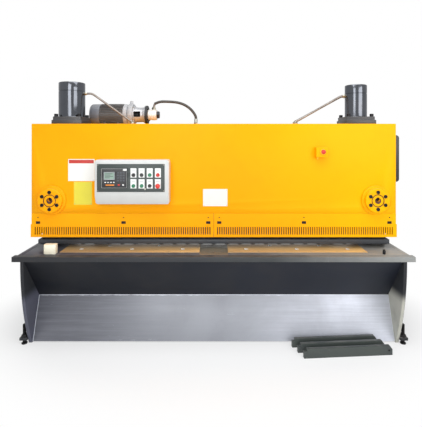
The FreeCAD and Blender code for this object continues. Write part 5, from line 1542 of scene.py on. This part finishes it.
@dataclass
class OilLines(Assembly):
    """The steel oil pipes, the black pressure hose and their unions."""

    cylinder_x: float = 1475.0
    cylinder_depth: float = 580.0
    deck: float = 2040.0
    union: float = 28.0
    pipe_radius: float = 11.0
    hose_radius: float = 15.0
    pipe_foot: float = 850.0
    lead: tuple[float, float] = (52.0, 16.0)
    hose_foot: float = -205.0
    port_x: float = -680.0
    motor_depth: float = 915.0
    port_height: float = 2226.0

    def build(self) -> None:
        """Build the three pipes, the hose and every union."""
        self._side(-1, "left_oil_pipe", 130.5, 2365.0, (580.0,))
        self._side(1, "right_oil_pipes", 109.0, 2340.0, (580.0, 640.0))
        self._hose()

    def _side(self, side: int, node: str, radius: float, height: float,
              depths: tuple[float, ...]) -> None:
        """The pipes of one main cylinder, with a union at each end.

        Args:
            side: Which side the cylinder is on.
            node: The CAD node that the pipes stand for.
            radius: The barrel's radius.
            height: How high the ports are.
            depths: The depth of each pipe.
        """
        pipes, unions = [], []
        base = self.pipe_foot
        foot = self.deck + self.union
        for depth in depths:
            off = depth - self.cylinder_depth
            start = self.cylinder_x - math.sqrt(radius * radius - off * off)
            port = start - 28.0
            knee = port - self.lead[side > 0]
            slope = (height - foot - 14) / (knee - base - 20)
            route = [(port + 4, height), (port - 6, height), (knee + 8, height),
                     (knee - 20, height - 20 * slope), (knee - 160, height - 160 * slope),
                     (base + 160, foot + 14 + 140 * slope), (base + 26, foot + 18),
                     (base, foot + 8), (base, foot - 4)]
            points = [at(side * x, depth, z) for x, z in route]
            pipes.append(pipe("line", points, self.pipe_radius * MM, 5))
            end = at(side * (start + 6), depth, height)
            profile = ((15, 0), (19, 8), (19, 20), (16, 23), (13.5, 34))
            unions.append(turned("union", Axis.X, end, [(r, -side * d) for r, d in profile], 6))
            seat = at(side * base, depth, self.deck)
            unions.append(turned("socket", Axis.Z, seat, [
                (19, 0.2), (21, 3), (21, 14), (17, 17), (17, 28), (13, 33)], 24))
            unions.append(hexagon("nut", Axis.Z, seat + Vector((0, 0, 0.016)), 0.040, 0.014))
        self.stand(joined(node + "_bent", pipes), "pipe_steel", node)
        self.add(joined(("left" if side < 0 else "right") + "_pipe_unions", unions), "zinc")

    def _hose(self) -> None:
        """The black hose from the pump over to the deck, with crimped ends."""
        high = self.port_height
        end = self.hose_foot
        route = [(-680, high - 2), (-680, high + 24), (-672, high + 62), (-630, high + 84),
                 (-560, high + 90), (-390, high + 80), (end - 70, high + 20), (end, high - 70),
                 (end, self.deck + 60), (end, self.deck + self.union - 4)]
        points = [at(x, self.motor_depth, z) for x, z in route]
        hose = pipe("pressure_hose", points[2:], self.hose_radius * MM, 6)
        self.stand(hose, "hose_rubber", "pressure_line")
        elbow = pipe("pressure_elbow", points[:5], (self.hose_radius - 3) * MM, 5)
        self.add(elbow, "pipe_steel", "pipe_steel")
        seat = at(end, self.motor_depth, self.deck)
        crimp = turned("crimp", Axis.Z, seat, [
            (24, 0.2), (26, 3), (26, 16), (20, 20), (18.5, 30), (18.5, 74), (16, 78)], 28)
        nut = hexagon("nut", Axis.Z, seat + Vector((0, 0, 0.022)), 0.050, 0.018)
        collar = turned("collar", Axis.Z, at(self.port_x, self.motor_depth, high), [
            (24, -2), (24, 14), (19, 17), (19, 26), (15, 29)], 6)
        fittings = joined("hose_fittings", [crimp, nut, collar])
        self.stand(fittings, "zinc", "line_fittings", "screw_steel")


class Knob(Enum):
    """The colour of a push button."""

    BLACK = "black_knob"
    GREEN = "green_knob"
    RED = "red_knob"


def mushroom_head(name: str, spot: Vector) -> Piece:
    """A domed head on its stem, on the face that it stands on."""
    return turned(name, Axis.Y, spot, [
        (5.9, 9.8), (5.9, -8), (11, -9), (12, -12), (20, -12.4), (21.5, -14), (21.5, -17.5),
        (20.2, -20.5), (16.5, -22.6), (11, -23.6), (5, -23.95), (2, -24)], 48)


@dataclass
class ButtonPanel(Assembly):
    """The operator panel's legend plates and buttons."""

    face: float = 116.0
    first: float = -735.0
    pitch: float = 74.5
    rows: tuple[float, float] = (1565.0, 1465.0)
    knobs: tuple[Knob, ...] = (Knob.BLACK, Knob.BLACK, Knob.GREEN, Knob.RED,
                               Knob.GREEN, Knob.GREEN, Knob.BLACK)

    def build(self) -> None:
        """Build the plates, and the buttons with their round bezels; the last is a mushroom."""
        spots = [at(self.first + self.pitch * n, self.face, row) for row in self.rows for n in range(4)]
        plate = block("plate", Vector((-0.027, -0.0012, -0.023)), Vector((0.027, 0.0002, 0.062)),
                      0.0005, 1)
        self.add(repeated("legend_plates", plate, spots), "legend_white", "panel_film")
        bar = block("bar", Vector((-0.019, -0.0018, 0.040)), Vector((0.019, -0.0010, 0.043)), 0.0)
        self.add(repeated("legend_lines", bar, spots), "bezel_grey", "panel_film")
        for number, (spot, knob) in enumerate(zip(spots, (*self.knobs, Knob.RED)), 1):
            collar = turned(f"button_collar_{number}", Axis.Y, spot, [
                (17.5, -0.8), (17.5, -3.5), (16.5, -5), (13.2, -5), (12.4, -3.6), (12.4, -1.2)])
            self.add(collar, knob.value, "panel_film")
            if number > len(self.knobs):
                self.stand(mushroom_head("mushroom_head", spot), knob.value, "mushroom_button")
                continue
            node = f"push_button_{number}"
            cap = turned(node + "_cap", Axis.Y, spot, [
                (5.9, 16.8), (5.9, -5), (10.4, -5), (11, -5.6), (11, -11.6), (10, -12.9),
                (8.6, -12.9), (7.6, -12.2)])
            self.stand(cap, knob.value, node)


@dataclass
class Controller(Assembly):
    """The controller with its rim line, bezel, screen, keypad and soft keys."""

    x: float = -955.0
    height: float = 1558.0
    screen_rows: tuple[float, ...] = (30.0, 12.0, 36.0, 4.0)
    keys: tuple[tuple[str, str, float, float, float, float, float], ...] = (
        ("start_key", "key_orange", -948.0, 1474.0, 78, 10, 1.6),
        ("stop_key", "key_red", -868.0, 1475.0, 18, 12, 1.6),
        ("menu_key", "key_white", -828.0, 1475.0, 15, 12, 1.6),
        ("corner_label", "legend_white", -812.0, 1614.0, 34, 20, 0.6),
    )

    def _slab(self, name: str, x: float, z: float, wide: float, tall: float, rise: float,
              sink: float = 0.2, bevel: float = 0.3, segments: int = 2) -> Piece:
        """A thin block on the controller's face, in millimetres.

        Args:
            name: Its name.
            x: Its middle, from the machine's middle.
            z: Its middle's height.
            wide: Its width.
            tall: Its height.
            rise: How far it stands out.
            sink: How far it goes in.
            bevel: The rounding of its edges.
            segments: How many faces round each edge.

        Returns:
            The new object.
        """
        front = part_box("controller")[0].y
        spot = at(x, 0.0, z)
        half = Vector((wide / 2 * MM, 0.0, tall / 2 * MM))
        low = Vector((spot.x, front - rise * MM, spot.z)) - half
        high = Vector((spot.x, front + sink * MM, spot.z)) + half
        return block(name, low, high, bevel * MM, segments)

    def _key(self, name: str, finish: str, *sizes: float) -> None:
        """A raised key or label; see _slab for its sizes."""
        self.add(self._slab(name, *sizes), finish, "controller_case")

    def build(self) -> None:
        """Build the case, the rim, the screen with its rows, and the keys."""
        self.stand(dressed_copy("controller", 0.0015, 2), "controller_case", "controller")
        self._rim()
        bezel = self._slab("screen_bezel", self.x, self.height, 100, 72, 1.2, bevel=0.6)
        hole = self._slab("hole", self.x, self.height, 88, 58, 10, 10, 2.0)
        self.add(carved(bezel, hole), "bezel_grey", "controller_case")
        self._key("screen", "screen_glass", self.x, self.height, 90, 60, 0.6, 2.9, 0.3, 1)
        for row, end in enumerate(self.screen_rows):
            self._key(f"screen_row_{row + 1}", "keypad", self.x + (end - 38) / 2,
                      self.height + 19 - 12 * row, end + 38, 4.4, 0.9, -0.4, 0.0)
        for index in range(4):
            self._key(f"soft_key_{index + 1}", "key_white", -991.0 + 26.0 * index, 1498.5, 14, 8.5, 1.6)
        for key in self.keys:
            self._key(*key)
        for n in range(12):
            self._key(f"number_key_{n + 1}", "keypad", -876.0 + 26.0 * (n % 3),
                      1586.0 - 24.0 * (n // 3), 18, 15, 1.5)

    def _rim(self) -> None:
        """The thin pale line round the controller's face."""
        low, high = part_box("controller")
        x, z = (low.x + high.x) / 2 / MM, (low.z + high.z) / 2 / MM
        wide, tall = (high.x - low.x) / MM, (high.z - low.z) / MM
        inset, line = 5.0, 2.2
        outer = self._slab("controller_rim", x, z, wide - 2 * inset, tall - 2 * inset, 0.7, bevel=0.0)
        inside = 2 * (inset + line)
        inner = self._slab("inner", x, z, wide - inside, tall - inside, 10, 10, 0.0)
        self.add(carved(outer, inner), "frame_line", "controller_case")


@dataclass
class StopStation(Assembly):
    """The emergency stop on its yellow box."""

    x: float = 1021.0
    height: float = 1775.0
    face: float = 181.0
    gland: Triple = (978.0, 212.0, 1723.0)

    def build(self) -> None:
        """Build the collar, the mushroom head and the gland under the box."""
        spot = at(self.x, self.face, self.height)
        self.add(turned("stop_collar", Axis.Y, spot, [
            (24, 0.2), (27, -1), (27, -4.5), (25, -6), (14, -6.4), (9, -8), (9, -3)], 40),
            "yellow_collar", "yellow_paint")
        self.stand(mushroom_head("stop_head", spot), "red_knob", "emergency_stop")
        self.add(turned("stop_gland", Axis.Z, at(*self.gland), [
            (9, 0.2), (11, -1), (11, -8), (8, -10), (8, -18), (5, -20)], 6),
            "yellow_collar", "yellow_paint")


@dataclass(frozen=True)
class Plate:
    """A thin plate on the front panel, riveted or laid on another plate."""

    name: str
    finish: str
    left: float
    right: float
    low: float
    high: float
    face: float = 241.0
    riveted: bool = True


@dataclass
class FrontPlates(Assembly):
    """The bare plates riveted to the front panel."""

    thickness: float = 1.4
    margin: float = 9.0
    plates: tuple[Plate, ...] = (
        Plate("caution_plate", "white_plate", -1382, -1131, 1496, 1704),
        Plate("caution_band", "red_band", -1374, -1139, 1664, 1697, 239.7, False),
        Plate("hand_plate", "lime_plate", -1328, -1155, 1270, 1488),
        Plate("data_plate", "data_plate", -102, 130, 1257, 1420),
    )

    def build(self) -> None:
        """Build each plate, with a rivet at each corner."""
        rivets = []
        for plate in self.plates:
            front = plate.face - self.thickness
            low = at(plate.left, front, plate.low)
            high = at(plate.right, plate.face + 0.2, plate.high)
            self.add(block(plate.name, low, high, 0.0006, 1), plate.finish, "panel_film")
            if plate.riveted:
                rivets += [at(x, front, z) for x in (plate.left + self.margin, plate.right - self.margin)
                           for z in (plate.low + self.margin, plate.high - self.margin)]
        model = turned("rivet", Axis.Y, ORIGIN, [(3.4, 0.3), (3.4, -0.4), (2.4, -1.2), (1.0, -1.5)], 12)
        self.add(repeated("plate_rivets", model, rivets), "zinc")


@dataclass
class ControlTrim(Assembly):
    """The lock and the edge screws of the control box."""

    lock: Triple = (-629.0, 117.0, 1436.0)
    screw_face: float = 116.2
    screw_x: tuple[float, float] = (-1061.0, -459.0)
    screw_heights: tuple[float, float] = (1420.0, 1657.0)

    def build(self) -> None:
        """Build the lock and the cover's edge screws."""
        lock = turned("box_lock", Axis.Y, at(*self.lock), [
            (7, -1), (8, -1.6), (8, -4), (6.5, -5), (3, -5), (2.4, -3)], 20)
        self.add(lock, "zinc")
        model = turned("screw", Axis.Y, ORIGIN, [
            (4, 0.2), (4, -1.2), (3, -2.4), (1.4, -2.5), (1.2, -1.2)], 12)
        places = [at(x, self.screw_face, z) for x in self.screw_x for z in self.screw_heights]
        self.add(repeated("film_screws", model, places), "zinc")


@dataclass
class Fasteners(Assembly):
    """Bolts on the upper knife, the side frames and the wear plates, and the stud."""

    rake: float = 1.5
    knife_first: float = -1.56
    knife_pitch: float = 0.195
    knife_bolts: int = 17
    frame_side: float = 1719.5
    frame_spots: tuple[tuple[float, float], ...] = (
        (400, 560), (400, 680), (420, 1560), (520, 1900), (980, 1900), (980, 1740))
    plate_first: float = 170.0
    plate_pitch: float = 244.0
    plate_bolts: int = 6
    plate_rows: tuple[float, float] = (156.0, 377.0)

    def build(self) -> None:
        """Build every group of bolts."""
        self._knife_bolts()
        self._frame_bolts()
        self._table_bolts()
        self._stud()

    def _knife_bolts(self) -> None:
        """The bolts through the upper knife from the front, under its raked line."""
        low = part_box("upper_blade")[0]
        slope = math.tan(math.radians(self.rake))
        model = turned("bolt", Axis.Y, Vector((0, low.y, 0)), [
            (10, 1.0), (10, -0.1), (9, -0.15), (6, -0.15), (5.4, 4)], 12)
        row = [self.knife_first + self.knife_pitch * index for index in range(self.knife_bolts)]
        places = [Vector((x, 0.0, low.z + 0.060 + slope * (x + 1.65))) for x in row]
        self.add(repeated("knife_bolts", model, places), "blackened", body="upper_beam")

    def _frame_bolts(self) -> None:
        """The bolts that hold the table beam's ends to the side frames."""
        head = hexagon("bolt", Axis.X, ORIGIN, 0.038, 0.014)
        washer = turned("washer", Axis.X, ORIGIN, [(22, -1), (22, 3), (21, 3.6)], 24)
        model = joined("bolt", [head, washer])
        moves = [Matrix.Translation(at(side * self.frame_side, *spot)) @ Matrix.Rotation(turn, 4, "Z")
                 for side, turn in ((1, 0.0), (-1, math.pi)) for spot in self.frame_spots]
        self.add(repeated("frame_bolts", model, moves), "blackened")

    def _table_bolts(self) -> None:
        """Countersunk bolts along the wear plates."""
        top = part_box("wear_plates")[1].z
        model = turned("bolt", Axis.Z, Vector((0, 0, top)), [
            (7.5, -1.0), (7.5, 0.05), (4.2, 0.06), (3.8, -1.6)], 16)
        places = [at(side * (self.plate_first + self.plate_pitch * index), depth, 0.0)
                  for side in (-1, 1) for index in range(self.plate_bolts) for depth in self.plate_rows]
        self.add(repeated("wear_plate_bolts", model, places), "zinc")

    def _stud(self) -> None:
        """The short stop stud on the right of the table."""
        low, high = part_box("stop_stud")
        centre = Vector(((low.x + high.x) / 2, (low.y + high.y) / 2, low.z))
        rise = high.z - low.z
        stud = turned("stop_stud_turned", Axis.Z, centre, [
            (0.011, 0.0), (0.013, 0.002), (0.013, rise - 0.012), (0.0105, rise - 0.010),
            (0.0105, rise - 0.003), (0.0085, rise)], 28, unit=1.0)
        self.stand(stud, "blackened", "stop_stud")


@dataclass
class LevellingScrews(Assembly):
    """The four screws with their nuts and round feet."""

    pitch: float = 0.003

    def build(self) -> None:
        """Model one screw with real thread rings and copy it to the four feet."""
        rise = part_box("levelling_screws")[1].z
        lug_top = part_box("foot_lugs")[1].z
        foot = turned("pad", Axis.Z, ORIGIN, [(25, 0.2), (26, 2), (26, 9), (20, 14), (12, 15)])
        thread = [(0.013, 0.013)]
        height = 0.016
        while height < rise - 0.006:
            thread += [(0.0135, height), (0.015, height + 0.0012), (0.0135, height + 0.0024)]
            height += self.pitch
        thread += [(0.0125, rise - 0.002), (0.011, rise)]
        stem = turned("stem", Axis.Z, ORIGIN, thread, 16, unit=1.0)
        nut = hexagon("nut", Axis.Z, Vector((0, 0, lug_top + 0.0002)), 0.053, 0.0236)
        model = joined("screw", [foot, stem, nut])
        screws = repeated("levelling_screw_set", model, self._places())
        self.stand(screws, "blackened", "levelling_screws")

    @staticmethod
    def _places() -> list[Vector]:
        """Where the screws stand, from the middle of each screw's foot."""
        groups: dict[tuple[bool, bool], list[Vector]] = {}
        for vertex in frame["nodes"]["levelling_screws"].data.vertices:
            if vertex.co.z < 0.0005:
                groups.setdefault((vertex.co.x > 0, vertex.co.y > 0), []).append(vertex.co)
        places = []
        for corner in groups.values():
            xs = [co.x for co in corner]
            ys = [co.y for co in corner]
            places.append(Vector(((min(xs) + max(xs)) / 2, (min(ys) + max(ys)) / 2, 0.0)))
        return places


@dataclass
class Remainder(Assembly):
    """The round hidden pieces that keep their CAD shape and only get a finish."""

    finishes: tuple[tuple[str, str], ...] = (
        ("piston_rods", "chrome"), ("gauge_screws", "gauge_steel"), ("rear_tie", "beam_enamel"))

    def build(self) -> None:
        """Give each node its material."""
        for node, finish in self.finishes:
            paint(frame["nodes"][node], self.shop[finish])


def main() -> None:
    """Build the studio and the machine, piece by piece."""
    logging.basicConfig(level=logging.WARNING, format="%(name)s: %(message)s")
    bpy.context.scene.view_settings.view_transform = "Standard"
    shop = Shop(FINISHES)
    Studio().build()
    for assembly in (Plating, GuideHousings, GuardFixings, PressFeet, BallTransfers, MainCylinders,
                     MotorPump, OilLines, ButtonPanel, Controller, StopStation, FrontPlates,
                     ControlTrim, Fasteners, LevellingScrews, Remainder):
        assembly(shop).build()


if __name__ == "__main__":
    main()
